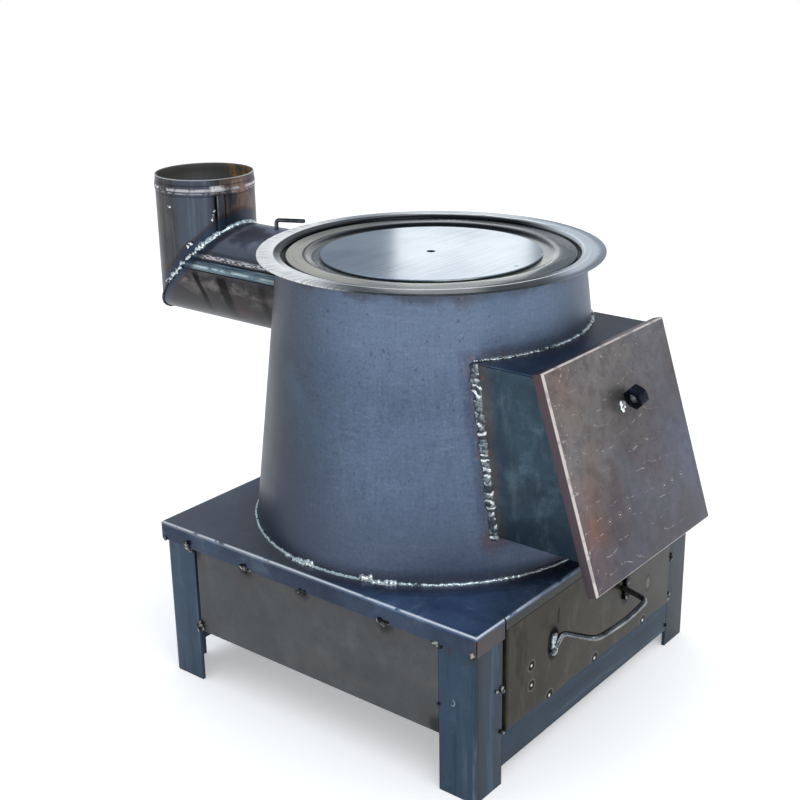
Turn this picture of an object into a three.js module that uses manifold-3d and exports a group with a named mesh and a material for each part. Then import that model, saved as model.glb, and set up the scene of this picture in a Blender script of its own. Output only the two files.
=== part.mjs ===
// Heating stove of welded sheet steel: a square base on four angle legs with an ash drawer,
// a tapered fire body with a top flange, a loose ring and a lid, a slanted feed chute with a
// hinged pan door, and a mitred flue elbow with a damper.
// Units are millimetres, +Z is up, and the front with the drawer and the feed door faces -Y.

import * as THREE from 'three';
import { mergeVertices } from 'three/addons/utils/BufferGeometryUtils.js';
import Module from 'manifold-3d';

const wasm = await Module();
wasm.setup();

// Clearances and overruns
const seatGap = 0.3;            // between two pieces that lie against each other
const cutOverrun = 20;          // how far a cutting tool runs past the metal
const slideGap = 1.0;           // each side of the ash tray in its runners

// Base: top plate with folded skirts
const plateSide = 440;          // outside the skirts
const plateHeight = 191;        // floor to the top face
const plateSheet = 3;
const plateBend = 3.8;          // outside radius of the folds
const skirtHeight = 22;
const cornerSlit = 0.9;         // open seam between two skirts at each corner
const cornerSlitDepth = 9;
const frontFlapWidth = 341;     // the shorter flap over the drawer
const frontFlapHeight = 13.5;
const flapRelief = 2.2;         // width of the cuts at both ends of the flap
const ashHoleDiameter = 224;

// Base: angle legs, rails and panels
const legWidth = 45;
const legSheet = 4;
const legOuterRadius = 6;
const railWidth = 40;
const railSheet = 4;
const railOuterRadius = 5;
const railTop = 61;             // floor to the rail's top face
const panelSheet = 2;
const panelBottom = 66;
const panelRearGap = 4;         // open seam between a side panel and the rear leg
const runnerWidth = 25;
const runnerSheet = 3;
const runnerOuterRadius = 4;

// Fire grate
const grateDiameter = 250;
const grateThickness = 11;
const grateRim = 16;
const grateBar = 9;
const grateSlot = 11;
const grateCrossBar = 14;
const grateBevel = 1.5;

// Fire body
const bodyBaseRadius = 202;
const bodyTopRadius = 166.4;    // at the height of the flange's top face
const bodySheet = 2;
const topHeight = 494;          // floor to the flange's top face
const bodyRimDrop = 3.5;        // the body's rim below the flange's top face

// Top flange
const flangeRadius = 188.5;
const flangeSheet = 2;
const flangeThroatRadius = 162; // inside the rolled-down wall
const flangeBend = 4.5;
const flangeSeatDepth = 7;      // top face down to the ledge that carries the ring
const flangeSeatRadius = 150;   // inner edge of that ledge

// Loose reducing ring
const ringSheet = 2;
const ringRadius = 158;
const ringTopDepth = 2.8;       // below the flange's top face
const ringEdgeRadius = 1.8;
const ringFlatInner = 139.5;    // where the flat turns down to the lid's seat
const ringSeatOuter = 128;
const ringSeatInner = 112;
const ringSeatDepth = 6.5;      // below the flange's top face

// Lid
const lidRadius = 120.5;
const lidThickness = 2.2;
const lidEdge = 0.6;
const lidHoleDiameter = 9.8;
const lidDimpleDiameter = 6;
const lidDimpleDepth = 0.9;
const lidDimpleOffset = 111;

// Flue
const flueRadius = 60.5;
const flueSheet = 1.5;
const flueAxisHeight = 424;
const flueInnerEnd = 163;       // where the inlet pipe ends, from the body's axis
const riserAxisOffset = 348;    // riser's axis behind the body's axis
const riserHeight = 117;        // rim above the inlet's axis
const riserBeadBelowRim = 13.5;
const riserBeadWidth = 12;
const riserBeadRise = 1.2;
const riserSpigotRadius = 60;
const riserSpigotTaper = 4;
const seamWidth = 10.5;
const seamRise = 2;
const inletSeamAngle = 163;     // degrees from +X towards +Z
const inletSeamStart = 5;       // clear of the body's wall
const riserSeamAngle = -117.5;  // degrees from +X towards +Y
const riserSeamEndBelowRim = 18;

// Flue damper
const damperOffset = 230;       // spindle behind the body's axis
const spindleRadius = 2.5;
const spindleBend = 5;
const spindleTail = 4.5;        // below the pipe
const spindleArmRise = 1.2;     // middle of the arm at its bend, above the flange
const spindleArmSlope = 5.5;    // degrees, the arm climbs towards its free end
const spindleArmLength = 45;
const damperSheet = 2;
const damperClearance = 1;      // plate edge to pipe wall
const saddleSheet = 1.5;
const saddleHeight = 14;
const saddleFoot = 8;
const saddleSpacing = 52;

// Feed chute
const chuteWidth = 220;
const chuteBottom = 238;
const chuteTop = 420;
const chuteSheet = 2;
const chuteBend = 3;

// Feed door: a shallow pan that leans on the slanted mouth
const doorWidth = 234;
const doorLength = 226;         // measured along the slope
const doorDepth = 12.6;
const doorSheet = 2;
const doorBend = 2.6;
const doorTilt = 17.75;         // degrees, the top leans towards the body
const doorFootOffset = 290;     // lower front edge ahead of the body's axis
const mouthDepth = 10;          // the chute's mouth behind the door's outer face

// Door hinges
const hingeBarrelRadius = 3.5;
const hingePinRadius = 1.7;
const hingePinGap = 0.2;
const hingeAxisUp = 31;         // along the door from its lower edge
const hingeAxisDepth = 6.2;     // behind the door's outer face
const hingeAxisRise = 1.134;    // above the chute's underside
const hingeWidth = 55;
const hingeLeafSheet = 2;
const hingeDoorLeafTop = 71;    // along the door from its lower edge
const hingeChuteLeafLength = 27;
const hingeKnuckleGap = 0.5;
const hingeSwingGap = 0.6;
const hingeLeftX = -48;
const hingeRightX = 61;

// Door pull: a hexagon nut welded on edge
const nutFlats = 21;
const nutSides = 6;
const nutThickness = 12;
const nutBore = 12.4;
const nutChamfer = 1.3;
const nutX = 11.5;
const nutUp = 165.3;
const nutYaw = 15;              // degrees, turned in the door's plane
const nutLean = 14.5;           // degrees, one end tipped away from the door

// Ash drawer
const drawerFrontWidth = 335;
const drawerFrontBottom = 61.5;
const drawerFrontTop = 177.2;
const drawerFrontSheet = 2;
const drawerFrontFlange = 10;
const drawerFrontBend = 2.6;
const trayWidth = 256;
const trayLength = 368;
const trayHeight = 62;
const traySheet = 1.5;
const trayBend = 3;

// Drawer handle
const handleRod = 3.1;          // radius
const handleCentreX = -10;
const handleHeight = 131;
const handleSpan = 125;         // between the feet
const handleReach = 38;         // drawer front to the middle of the bar
const handleTaper = 10.5;       // how much each arm leans inwards
const handleBow = 5;
const handleBowBend = 25;       // straight run given to the bow's bend on each side
const handleBend = 9;
const handleFootLength = 16;
const handleFootBend = 5;
const handleFootAngle = 39;     // degrees below the horizontal

// Facets
const bodySegments = 64;
const ringSegments = 64;
const pipeSegments = 48;
const holeSegments = 16;
const rodSides = 12;
const cornerSegments = 4;

// Values worked out from the sizes above
const plateHalf = plateSide / 2;
const plateUnderside = plateHeight - plateSheet;
const frameHalf = plateHalf - plateSheet - seatGap;   // outer faces of legs, rails and panels
const doorTiltRad = THREE.MathUtils.degToRad(doorTilt);
const flueBore = flueRadius - flueSheet;
const chuteHalf = chuteWidth / 2;
const chuteStockEnd = chuteHalf / 2;                  // well inside the body's wall
const riserTop = flueAxisHeight + riserHeight;
const spindleArmHeight = topHeight + spindleArmRise;
const hingeZ = chuteBottom + hingeAxisRise;
const doorFootHeight = hingeZ - hingeAxisUp * Math.cos(doorTiltRad) + hingeAxisDepth * Math.sin(doorTiltRad);
const hingeY = -doorFootOffset + hingeAxisUp * Math.sin(doorTiltRad) + hingeAxisDepth * Math.cos(doorTiltRad);
const knuckleWidth = (hingeWidth - 2 * hingeKnuckleGap) / 3;

// Colours of the bare metal
function steel(hex, roughness, metalness = 0.85) {
  return new THREE.MeshStandardMaterial({ color: hex, roughness, metalness });
}
const blueScale = steel(0x56657c, 0.5);
const navyScale = steel(0x2b3a54, 0.42);
const legScale = steel(0x43586a, 0.5);
const panelScale = steel(0x55585b, 0.55);
const drawerScale = steel(0x4b4a46, 0.55);
const brushed = steel(0xb9bcb8, 0.3, 1);
const lidSteel = steel(0xc6cbd0, 0.22, 1);
const pipeScale = steel(0x4d4c50, 0.5);
const doorScale = steel(0x6a646a, 0.5);
const castIron = steel(0x34373a, 0.75, 0.6);
const darkSteel = steel(0x2a2c33, 0.45);
const rodSteel = steel(0x8d9093, 0.35, 1);
const traySteel = steel(0x6d7072, 0.5);

// Solids: from a three.js geometry to a manifold and back

function facingOut(geometry) {
  const bare = new THREE.BufferGeometry();
  bare.setAttribute('position', geometry.getAttribute('position').clone());
  if (geometry.index) bare.setIndex(geometry.index.clone());
  const merged = mergeVertices(bare);
  const position = merged.getAttribute('position');
  const index = merged.index.array;
  const a = new THREE.Vector3();
  const b = new THREE.Vector3();
  const c = new THREE.Vector3();
  const kept = [];
  let volume = 0;
  for (let i = 0; i < index.length; i += 3) {
    if (index[i] === index[i + 1] || index[i + 1] === index[i + 2] || index[i] === index[i + 2]) continue;
    a.fromBufferAttribute(position, index[i]);
    b.fromBufferAttribute(position, index[i + 1]);
    c.fromBufferAttribute(position, index[i + 2]);
    volume += a.dot(b.cross(c));
    kept.push(index[i], index[i + 1], index[i + 2]);
  }
  if (volume < 0) {
    for (let i = 0; i < kept.length; i += 3) [kept[i + 1], kept[i + 2]] = [kept[i + 2], kept[i + 1]];
  }
  merged.setIndex(kept);
  return merged;
}

function solid(geometry) {
  const merged = facingOut(geometry);
  return new wasm.Manifold(new wasm.Mesh({
    numProp: 3,
    vertProperties: new Float32Array(merged.getAttribute('position').array),
    triVerts: new Uint32Array(merged.index.array),
  }));
}

function geometryOf(manifold) {
  const { vertProperties, triVerts } = manifold.getMesh();
  const geometry = new THREE.BufferGeometry();
  geometry.setAttribute('position', new THREE.BufferAttribute(new Float32Array(vertProperties), 3));
  geometry.setIndex(new THREE.BufferAttribute(new Uint32Array(triVerts), 1));
  geometry.computeVertexNormals();
  return geometry;
}

function cut(stock, ...tools) {
  return geometryOf(tools.reduce((rest, tool) => rest.subtract(solid(tool)), solid(stock)));
}

function join(...parts) {
  const [first, ...others] = parts.map(solid);
  return geometryOf(others.reduce((sum, part) => sum.add(part), first));
}

function mirrored(geometry, x, y, z) {
  return geometryOf(solid(geometry.scale(x, y, z)));
}

// Basic forms, each in the place where it belongs

function box(x0, x1, y0, y1, z0, z1) {
  const geometry = new THREE.BoxGeometry(x1 - x0, y1 - y0, z1 - z0);
  return geometry.translate((x0 + x1) / 2, (y0 + y1) / 2, (z0 + z1) / 2);
}

function extruded(shape, length, curveSegments = cornerSegments) {
  return new THREE.ExtrudeGeometry(shape, { depth: length, bevelEnabled: false, curveSegments });
}

// The shape's x and y become world x and z, and the extrusion runs along +Y from y0 to y1.
function extrudedAlongY(shape, y0, y1, curveSegments) {
  return extruded(shape, y1 - y0, curveSegments).rotateX(Math.PI / 2).translate(0, y1, 0);
}

// The shape's x and y become world y and z, and the extrusion runs along +X from x0 to x1.
function extrudedAlongX(shape, x0, x1, curveSegments) {
  const geometry = extruded(shape, x1 - x0, curveSegments);
  return geometry.rotateY(Math.PI / 2).rotateX(Math.PI / 2).translate(x0, 0, 0);
}

// A closed profile of [radius, height] points turned about the Z axis.
function revolved(points, segments) {
  const profile = points.map(([radius, height]) => new THREE.Vector2(radius, height));
  return new THREE.LatheGeometry(profile, segments).rotateX(Math.PI / 2);
}

function closed(points) {
  return [...points, points[0]];
}

function pillar(radius, z0, z1, segments = holeSegments, x = 0, y = 0) {
  const geometry = new THREE.CylinderGeometry(radius, radius, z1 - z0, segments);
  return geometry.rotateX(Math.PI / 2).translate(x, y, (z0 + z1) / 2);
}

function cylinderAlongX(radius, x0, x1, y, z, segments = holeSegments) {
  const geometry = new THREE.CylinderGeometry(radius, radius, x1 - x0, segments);
  return geometry.rotateZ(Math.PI / 2).translate((x0 + x1) / 2, y, z);
}

function cylinderAlongY(radius, y0, y1, x, z, segments) {
  const geometry = new THREE.CylinderGeometry(radius, radius, y1 - y0, segments);
  return geometry.translate(x, (y0 + y1) / 2, z);
}

// Points of an arc from one angle to another, in degrees.
function arc(centreX, centreY, radius, from, to, steps = cornerSegments) {
  return Array.from({ length: steps + 1 }, (_, i) => {
    const angle = THREE.MathUtils.degToRad(from + (to - from) * i / steps);
    return [centreX + radius * Math.cos(angle), centreY + radius * Math.sin(angle)];
  });
}

function shapeOf(points) {
  return new THREE.Shape(points.map(([x, y]) => new THREE.Vector2(x, y)));
}

// An L section with its outer corner at the origin and its legs along +x and +y.
function angleSection(width, sheet, outerRadius) {
  const innerRadius = Math.max(outerRadius - sheet, sheet / 2);
  return shapeOf([
    [width, 0], [width, sheet],
    ...arc(sheet + innerRadius, sheet + innerRadius, innerRadius, 270, 180),
    [sheet, width], [0, width],
    ...arc(outerRadius, outerRadius, outerRadius, 180, 270),
  ]);
}

// A square-cornered tray of folded sheet: its face looks up at z = 0, its rim hangs down.
function foldedTray(width, length, rim, sheet, bend) {
  const blank = (w, l, height, radius) => {
    const outline = shapeOf([[-w / 2, -l / 2], [w / 2, -l / 2], [w / 2, l / 2], [-w / 2, l / 2]]);
    return new THREE.ExtrudeGeometry(outline, {
      depth: height - 2 * radius,
      bevelThickness: radius,
      bevelSize: radius,
      bevelOffset: -radius,
      bevelSegments: cornerSegments,
    }).translate(0, 0, radius - height);
  };
  const tall = rim + cutOverrun;
  const outside = blank(width, length, tall, bend);
  const inside = blank(width - 2 * sheet, length - 2 * sheet, tall, bend - sheet).translate(0, 0, -sheet);
  const below = box(-width, width, -length, length, -tall - cutOverrun, -rim);
  return cut(outside, inside, below);
}

// A path that stands exactly on its given points, one step per point.
class StationPath extends THREE.Curve {
  constructor(stations) {
    super();
    this.stations = stations;
    this.steps = stations.length - 1;
  }

  getPoint(t) {
    return this.stations[Math.round(t * this.steps)].clone();
  }

  getPointAt(u) {
    return this.getPoint(u);
  }

  getTangentAt(u) {
    const i = Math.round(u * this.steps);
    const before = this.stations[Math.max(i - 1, 0)];
    const after = this.stations[Math.min(i + 1, this.steps)];
    return after.clone().sub(before).normalize();
  }
}

// A round rod along straight runs with rounded bends between them.
function bentRod(points, bends, radius) {
  const corners = points.map(([x, y, z]) => new THREE.Vector3(x, y, z));
  const stations = [corners[0]];
  bends.forEach((bend, i) => {
    const [last, corner, next] = corners.slice(i, i + 3);
    const before = corner.clone().add(last.clone().sub(corner).setLength(bend));
    const after = corner.clone().add(next.clone().sub(corner).setLength(bend));
    stations.push(...new THREE.QuadraticBezierCurve3(before, corner, after).getPoints(cornerSegments));
  });
  stations.push(corners[corners.length - 1]);
  const path = new StationPath(stations);
  const section = shapeOf(arc(0, 0, radius, 0, 360, rodSides).slice(0, -1));
  return new THREE.ExtrudeGeometry(section, { steps: path.steps, bevelEnabled: false, extrudePath: path });
}

// The body's taper

function bodyRadiusAt(height) {
  const share = (height - plateHeight) / (topHeight - plateHeight);
  return bodyBaseRadius + (bodyTopRadius - bodyBaseRadius) * share;
}

function bodyCone(growth, z0, z1) {
  return revolved([
    [0, z0], [bodyRadiusAt(z0) + growth, z0], [bodyRadiusAt(z1) + growth, z1], [0, z1],
  ], bodySegments);
}

// Places a piece in the scene graph

function addPiece(parent, name, geometry, material) {
  const mesh = new THREE.Mesh(geometry, material);
  mesh.name = name;
  parent.add(mesh);
  return mesh;
}

// Base

function topPlate() {
  const tray = foldedTray(plateSide, plateSide, skirtHeight, plateSheet, plateBend);
  const slits = [0, 1, 2, 3].map((quarter) => {
    const reach = plateHalf * Math.SQRT2;
    const slit = box(reach - cornerSlitDepth, reach + cutOverrun, -cornerSlit / 2, cornerSlit / 2,
      -skirtHeight - cutOverrun, -plateBend);
    return slit.rotateZ(Math.PI / 4 + quarter * Math.PI / 2);
  });
  const reliefs = [-1, 1].map((side) => {
    const centre = side * (frontFlapWidth + flapRelief) / 2;
    return box(centre - flapRelief / 2, centre + flapRelief / 2,
      -plateHalf - cutOverrun, -plateHalf + plateBend, -skirtHeight - cutOverrun, cutOverrun);
  });
  const underFlap = box(-frontFlapWidth / 2 - flapRelief / 2, frontFlapWidth / 2 + flapRelief / 2,
    -plateHalf - cutOverrun, -plateHalf + plateBend, -skirtHeight - cutOverrun, -frontFlapHeight);
  const ashHole = pillar(ashHoleDiameter / 2, -cutOverrun, cutOverrun, pipeSegments);
  return cut(tray, ...slits, ...reliefs, underFlap, ashHole);
}

function leg() {
  return extruded(angleSection(legWidth, legSheet, legOuterRadius), plateUnderside - seatGap);
}

// The rail's outer face is at local y = 0 and its top face at z = 0; the flat leg points to +Y.
function rail() {
  const half = frameHalf - legWidth - seatGap;
  const section = angleSection(railWidth, railSheet, railOuterRadius);
  return mirrored(extrudedAlongX(section, -half, half), 1, 1, -1);
}

function sidePanel() {
  const rear = frameHalf - legWidth - panelRearGap;
  return box(0, panelSheet, -frameHalf + legWidth + seatGap, rear, panelBottom, plateUnderside - seatGap);
}

function rearPanel() {
  const half = frameHalf - legWidth - seatGap;
  return box(-half, half, frameHalf - panelSheet, frameHalf, panelBottom, plateUnderside - seatGap);
}

// Runs between the flat legs of the two rails, beside and under the ash tray.
function drawerRunner() {
  const half = frameHalf - railWidth - seatGap;
  const section = angleSection(runnerWidth, runnerSheet, runnerOuterRadius);
  return extrudedAlongY(section, -half, half);
}

function fireGrate() {
  const bottom = plateHeight + seatGap;
  const top = bottom + grateThickness;
  const edge = grateDiameter / 2;
  const disc = revolved([
    [0, bottom], [edge, bottom], [edge, top - grateBevel], [edge - grateBevel, top], [0, top],
  ], pipeSegments);
  const bore = edge - grateRim;
  const pitch = grateBar + grateSlot;
  const count = Math.floor((bore - grateSlot) / pitch);
  const slots = [];
  for (let i = -count; i <= count; i++) {
    const x = i * pitch;
    const reach = Math.sqrt(bore ** 2 - (Math.abs(x) + grateSlot / 2) ** 2);
    for (const [y0, y1] of [[-reach, -grateCrossBar / 2], [grateCrossBar / 2, reach]]) {
      slots.push(box(x - grateSlot / 2, x + grateSlot / 2, y0, y1, 0, top + cutOverrun));
    }
  }
  return cut(disc, ...slots);
}

// Fire body

function bodyShell() {
  const z0 = plateHeight + seatGap;
  const z1 = topHeight - bodyRimDrop;
  const shell = revolved(closed([
    [bodyRadiusAt(z0), z0], [bodyRadiusAt(z1), z1],
    [bodyRadiusAt(z1) - bodySheet, z1], [bodyRadiusAt(z0) - bodySheet, z0],
  ]), bodySegments);
  const flueHole = cylinderAlongY(flueRadius + seatGap, 0, bodyBaseRadius + cutOverrun, 0, flueAxisHeight,
    pipeSegments);
  const feedHole = box(-chuteHalf + chuteSheet, chuteHalf - chuteSheet, -bodyBaseRadius - cutOverrun, 0,
    chuteBottom + chuteSheet, chuteTop - chuteSheet);
  return cut(shell, flueHole, feedHole);
}

function topFlange() {
  const wall = flangeThroatRadius;
  const inner = flangeBend - flangeSheet;
  const top = topHeight;
  const seat = topHeight - flangeSeatDepth;
  return revolved(closed([
    [flangeRadius, top - flangeSheet], [flangeRadius, top],
    ...arc(wall + flangeBend, top - flangeBend, flangeBend, 90, 180),
    [wall, seat], [flangeSeatRadius, seat], [flangeSeatRadius, seat - flangeSheet],
    [wall + flangeSheet, seat - flangeSheet],
    ...arc(wall + flangeBend, top - flangeBend, inner, 180, 90),
  ]), ringSegments);
}

function reducingRing() {
  const top = topHeight - ringTopDepth;
  const seat = topHeight - ringSeatDepth;
  const foot = topHeight - flangeSeatDepth + seatGap;
  const slopeShares = [[0, 0], [0.25, 0.08], [0.5, 0.4], [0.75, 0.8], [1, 1]];
  const slope = (drop) => slopeShares.map(([run, fall]) => [
    ringFlatInner + (ringSeatOuter - ringFlatInner) * run,
    top - (top - seat) * fall - drop,
  ]);
  return revolved(closed([
    [ringRadius, foot],
    ...arc(ringRadius - ringEdgeRadius, top - ringEdgeRadius, ringEdgeRadius, 0, 90),
    ...slope(0),
    [ringSeatInner, seat], [ringSeatInner, seat - ringSheet],
    ...slope(ringSheet).reverse(),
    [ringRadius - ringSheet, top - ringSheet], [ringRadius - ringSheet, foot],
  ]), ringSegments);
}

function lidDisc() {
  const bottom = topHeight - ringSeatDepth + seatGap;
  const top = bottom + lidThickness;
  const disc = revolved([
    [0, bottom], [lidRadius - lidEdge, bottom], [lidRadius, bottom + lidEdge],
    [lidRadius, top - lidEdge], [lidRadius - lidEdge, top], [0, top],
  ], ringSegments);
  const hole = pillar(lidHoleDiameter / 2, bottom - cutOverrun, top + cutOverrun);
  const dimple = new THREE.SphereGeometry(lidDimpleDiameter / 2, holeSegments, holeSegments / 2);
  dimple.translate(0, -lidDimpleOffset, top + lidDimpleDiameter / 2 - lidDimpleDepth);
  return cut(disc, hole, dimple);
}

// Flue

// Everything on the riser's side of the elbow's mitre, or on the inlet's side.
function mitreTool(side) {
  const size = 2 * riserAxisOffset;
  const half = seatGap / 2;
  const block = box(-size, size, -size, size, side > 0 ? -half : -size, side > 0 ? size : half);
  return block.rotateX(-Math.PI / 4).translate(0, riserAxisOffset, flueAxisHeight);
}

// A folded lock seam: a low band along a pipe, drawn at angle zero on the pipe's section.
function seamSection(angle, radius) {
  const half = THREE.MathUtils.radToDeg(seamWidth / 2 / radius);
  return shapeOf([
    ...arc(0, 0, radius - flueSheet / 2, angle - half, angle + half),
    ...arc(0, 0, radius + seamRise, angle + half, angle - half),
  ]);
}

function flueInletPipe() {
  const end = riserAxisOffset + flueRadius + cutOverrun;
  const outside = cylinderAlongY(flueRadius, flueInnerEnd, end, 0, flueAxisHeight, pipeSegments);
  const bore = cylinderAlongY(flueBore, flueInnerEnd - cutOverrun, end + cutOverrun, 0, flueAxisHeight,
    pipeSegments);
  const seamStart = bodyRadiusAt(flueAxisHeight) + inletSeamStart;
  const seam = extrudedAlongY(seamSection(inletSeamAngle, flueRadius), seamStart, end)
    .translate(0, 0, flueAxisHeight);
  const spindleHole = pillar(spindleRadius + seatGap, 0, topHeight + cutOverrun, holeSegments, 0, damperOffset);
  return cut(join(outside, seam), bore, mitreTool(1), spindleHole);
}

function flueRiserPipe() {
  const bottom = flueAxisHeight - flueRadius - cutOverrun;
  const beadMiddle = riserTop - riserBeadBelowRim;
  const beadHalf = riserBeadWidth / 2;
  const beadShares = [-1, -0.5, 0, 0.5, 1];
  const bead = (offset) => beadShares.map((share) => {
    const rise = riserBeadRise * Math.cos(share * Math.PI / 2) ** 2;
    return [flueRadius + rise - offset, beadMiddle + share * beadHalf];
  });
  const spigotFoot = Math.min(beadMiddle + beadHalf + riserSpigotTaper, riserTop - flueSheet);
  const tube = revolved(closed([
    [flueRadius, bottom], ...bead(0), [riserSpigotRadius, spigotFoot], [riserSpigotRadius, riserTop],
    [riserSpigotRadius - flueSheet, riserTop], [riserSpigotRadius - flueSheet, spigotFoot],
    ...bead(flueSheet).reverse(), [flueBore, bottom],
  ]), pipeSegments);
  const seam = extruded(seamSection(riserSeamAngle, flueRadius), riserTop - riserSeamEndBelowRim - bottom)
    .translate(0, 0, bottom);
  const bore = pillar(flueBore, bottom - cutOverrun, beadMiddle - beadHalf, pipeSegments);
  const riser = cut(join(tube, seam), bore);
  return cut(riser.translate(0, riserAxisOffset, 0), mitreTool(-1));
}

// Flue damper

function damperSpindle() {
  const tail = flueAxisHeight - flueRadius - spindleTail;
  const slope = THREE.MathUtils.degToRad(spindleArmSlope);
  const endY = damperOffset - spindleArmLength * Math.cos(slope);
  const endZ = spindleArmHeight + spindleArmLength * Math.sin(slope);
  return bentRod([
    [0, damperOffset, tail], [0, damperOffset, spindleArmHeight], [0, endY, endZ],
  ], [spindleBend], spindleRadius);
}

function damperPlateX() {
  return spindleRadius + seatGap + damperSheet / 2;
}

function damperPlate() {
  const x = damperPlateX();
  const radius = Math.sqrt((flueBore - damperClearance) ** 2 - x ** 2);
  return cylinderAlongX(radius, x - damperSheet / 2, x + damperSheet / 2, damperOffset, flueAxisHeight,
    pipeSegments);
}

// One of the two hat-shaped straps that hold the spindle against the plate.
function damperSaddle() {
  const inner = spindleRadius + seatGap;
  const outer = inner + saddleSheet;
  const face = damperPlateX() - damperSheet / 2 - seatGap;
  const section = shapeOf([
    [face, -outer - saddleFoot], [face, -inner], ...arc(0, 0, inner, 270, 90, 8), [face, inner],
    [face, outer + saddleFoot], [face - saddleSheet, outer + saddleFoot], [face - saddleSheet, outer],
    ...arc(0, 0, outer, 90, 270, 8), [face - saddleSheet, -outer], [face - saddleSheet, -outer - saddleFoot],
  ]);
  return extruded(section, saddleHeight).translate(0, 0, -saddleHeight / 2);
}

// Feed chute

// Everything in front of the slanted mouth.
function mouthTool() {
  const size = 2 * doorFootOffset;
  return box(-size, size, -size, mouthDepth, -size, size)
    .rotateX(-doorTiltRad).translate(0, -doorFootOffset, doorFootHeight);
}

function chutePiece(section) {
  const stock = extrudedAlongY(section, -doorFootOffset - cutOverrun, -chuteStockEnd);
  return cut(stock, bodyCone(seatGap, plateHeight, topHeight), mouthTool());
}

// Floor and both sides, folded from one sheet.
function chuteTrough() {
  const rim = chuteTop - chuteSheet - seatGap;
  const inner = chuteBend - chuteSheet;
  const side = chuteHalf - chuteSheet;
  const floor = chuteBottom + chuteSheet;
  return chutePiece(shapeOf([
    [chuteHalf, rim], [side, rim],
    ...arc(side - inner, floor + inner, inner, 0, -90),
    ...arc(-side + inner, floor + inner, inner, 270, 180),
    [-side, rim], [-chuteHalf, rim],
    ...arc(-chuteHalf + chuteBend, chuteBottom + chuteBend, chuteBend, 180, 270),
    ...arc(chuteHalf - chuteBend, chuteBottom + chuteBend, chuteBend, 270, 360),
  ]));
}

function chuteRoof() {
  const bottom = chuteTop - chuteSheet;
  return chutePiece(shapeOf([
    [-chuteHalf, bottom], [chuteHalf, bottom], [chuteHalf, chuteTop], [-chuteHalf, chuteTop],
  ]));
}

// Door hinges

// Lies on the chute's floor and carries the two outer knuckles.
function hingeChuteLeaf(x) {
  const left = x - hingeWidth / 2;
  const right = x + hingeWidth / 2;
  const bottom = chuteBottom + chuteSheet + seatGap;
  const leaf = box(left, right, hingeY, hingeY + hingeChuteLeafLength, bottom, bottom + hingeLeafSheet);
  const knuckles = [left, right - knuckleWidth].map((start) =>
    cylinderAlongX(hingeBarrelRadius, start, start + knuckleWidth, hingeY, hingeZ));
  const middle = box(left + knuckleWidth, right - knuckleWidth, hingeY - hingeWidth,
    hingeY + hingeBarrelRadius + hingeSwingGap, hingeZ - hingeWidth, hingeZ + hingeWidth);
  const bore = cylinderAlongX(hingePinRadius + hingePinGap, left - cutOverrun, right + cutOverrun, hingeY, hingeZ);
  const corner = box(left - cutOverrun, right + cutOverrun, hingeY - hingeWidth, hingeY,
    bottom, bottom + hingeWidth);
  return cut(join(cut(leaf, corner), ...knuckles), middle, bore);
}

function hingePin(x) {
  return cylinderAlongX(hingePinRadius, x - hingeWidth / 2, x + hingeWidth / 2, hingeY, hingeZ);
}

// Spot-welded inside the door, in the door's own frame, with the middle knuckle.
function hingeDoorLeaf(x) {
  const left = x - hingeWidth / 2;
  const right = x + hingeWidth / 2;
  const face = doorSheet + seatGap;
  const leaf = box(left, right, face, face + hingeLeafSheet, hingeAxisUp, hingeDoorLeafTop);
  const knuckle = cylinderAlongX(hingeBarrelRadius, left + knuckleWidth + hingeKnuckleGap,
    right - knuckleWidth - hingeKnuckleGap, hingeAxisDepth, hingeAxisUp);
  const clearTop = hingeAxisUp + hingeBarrelRadius + hingeSwingGap;
  const beside = [[left - cutOverrun, left + knuckleWidth + hingeKnuckleGap],
    [right - knuckleWidth - hingeKnuckleGap, right + cutOverrun]].map(([from, to]) =>
    box(from, to, -cutOverrun, cutOverrun, 0, clearTop));
  const bore = cylinderAlongX(hingePinRadius + hingePinGap, left - cutOverrun, right + cutOverrun,
    hingeAxisDepth, hingeAxisUp);
  return cut(join(leaf, knuckle), ...beside, bore);
}

// Feed door, in its own frame: x across, y into the mouth, z up the slope from the lower edge

function doorPan() {
  return foldedTray(doorWidth, doorLength, doorDepth, doorSheet, doorBend)
    .rotateX(Math.PI / 2).translate(0, 0, doorLength / 2);
}

function doorNut() {
  const corner = nutFlats / 2 / Math.cos(Math.PI / nutSides);
  const half = nutThickness / 2;
  const prism = new THREE.CylinderGeometry(corner, corner, nutThickness, nutSides);
  const chamfer = revolved([
    [0, -half], [corner - nutChamfer, -half], [corner, -half + nutChamfer / 2],
    [corner, half - nutChamfer / 2], [corner - nutChamfer, half], [0, half],
  ], holeSegments * 2).rotateX(-Math.PI / 2);
  const bore = new THREE.CylinderGeometry(nutBore / 2, nutBore / 2, nutThickness + cutOverrun, holeSegments);
  const blank = geometryOf(solid(prism).intersect(solid(chamfer)));
  return cut(blank, bore).rotateZ(-Math.PI / 2);
}

// Ash drawer

function drawerFront() {
  const height = drawerFrontTop - drawerFrontBottom;
  const middle = (drawerFrontTop + drawerFrontBottom) / 2;
  const pan = foldedTray(drawerFrontWidth, height + 2 * cutOverrun, drawerFrontFlange, drawerFrontSheet,
    drawerFrontBend);
  const sides = [-1, 1].map((side) => box(-drawerFrontWidth, drawerFrontWidth,
    side * height / 2, side * (height / 2 + 2 * cutOverrun), -2 * cutOverrun, cutOverrun));
  return cut(pan, ...sides).rotateX(Math.PI / 2).translate(0, -plateHalf, middle);
}

function ashTray() {
  const front = -plateHalf + drawerFrontSheet + seatGap;
  return foldedTray(trayWidth, trayLength, trayHeight, traySheet, trayBend)
    .rotateX(Math.PI).translate(0, front + trayLength / 2, railTop + seatGap);
}

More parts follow.
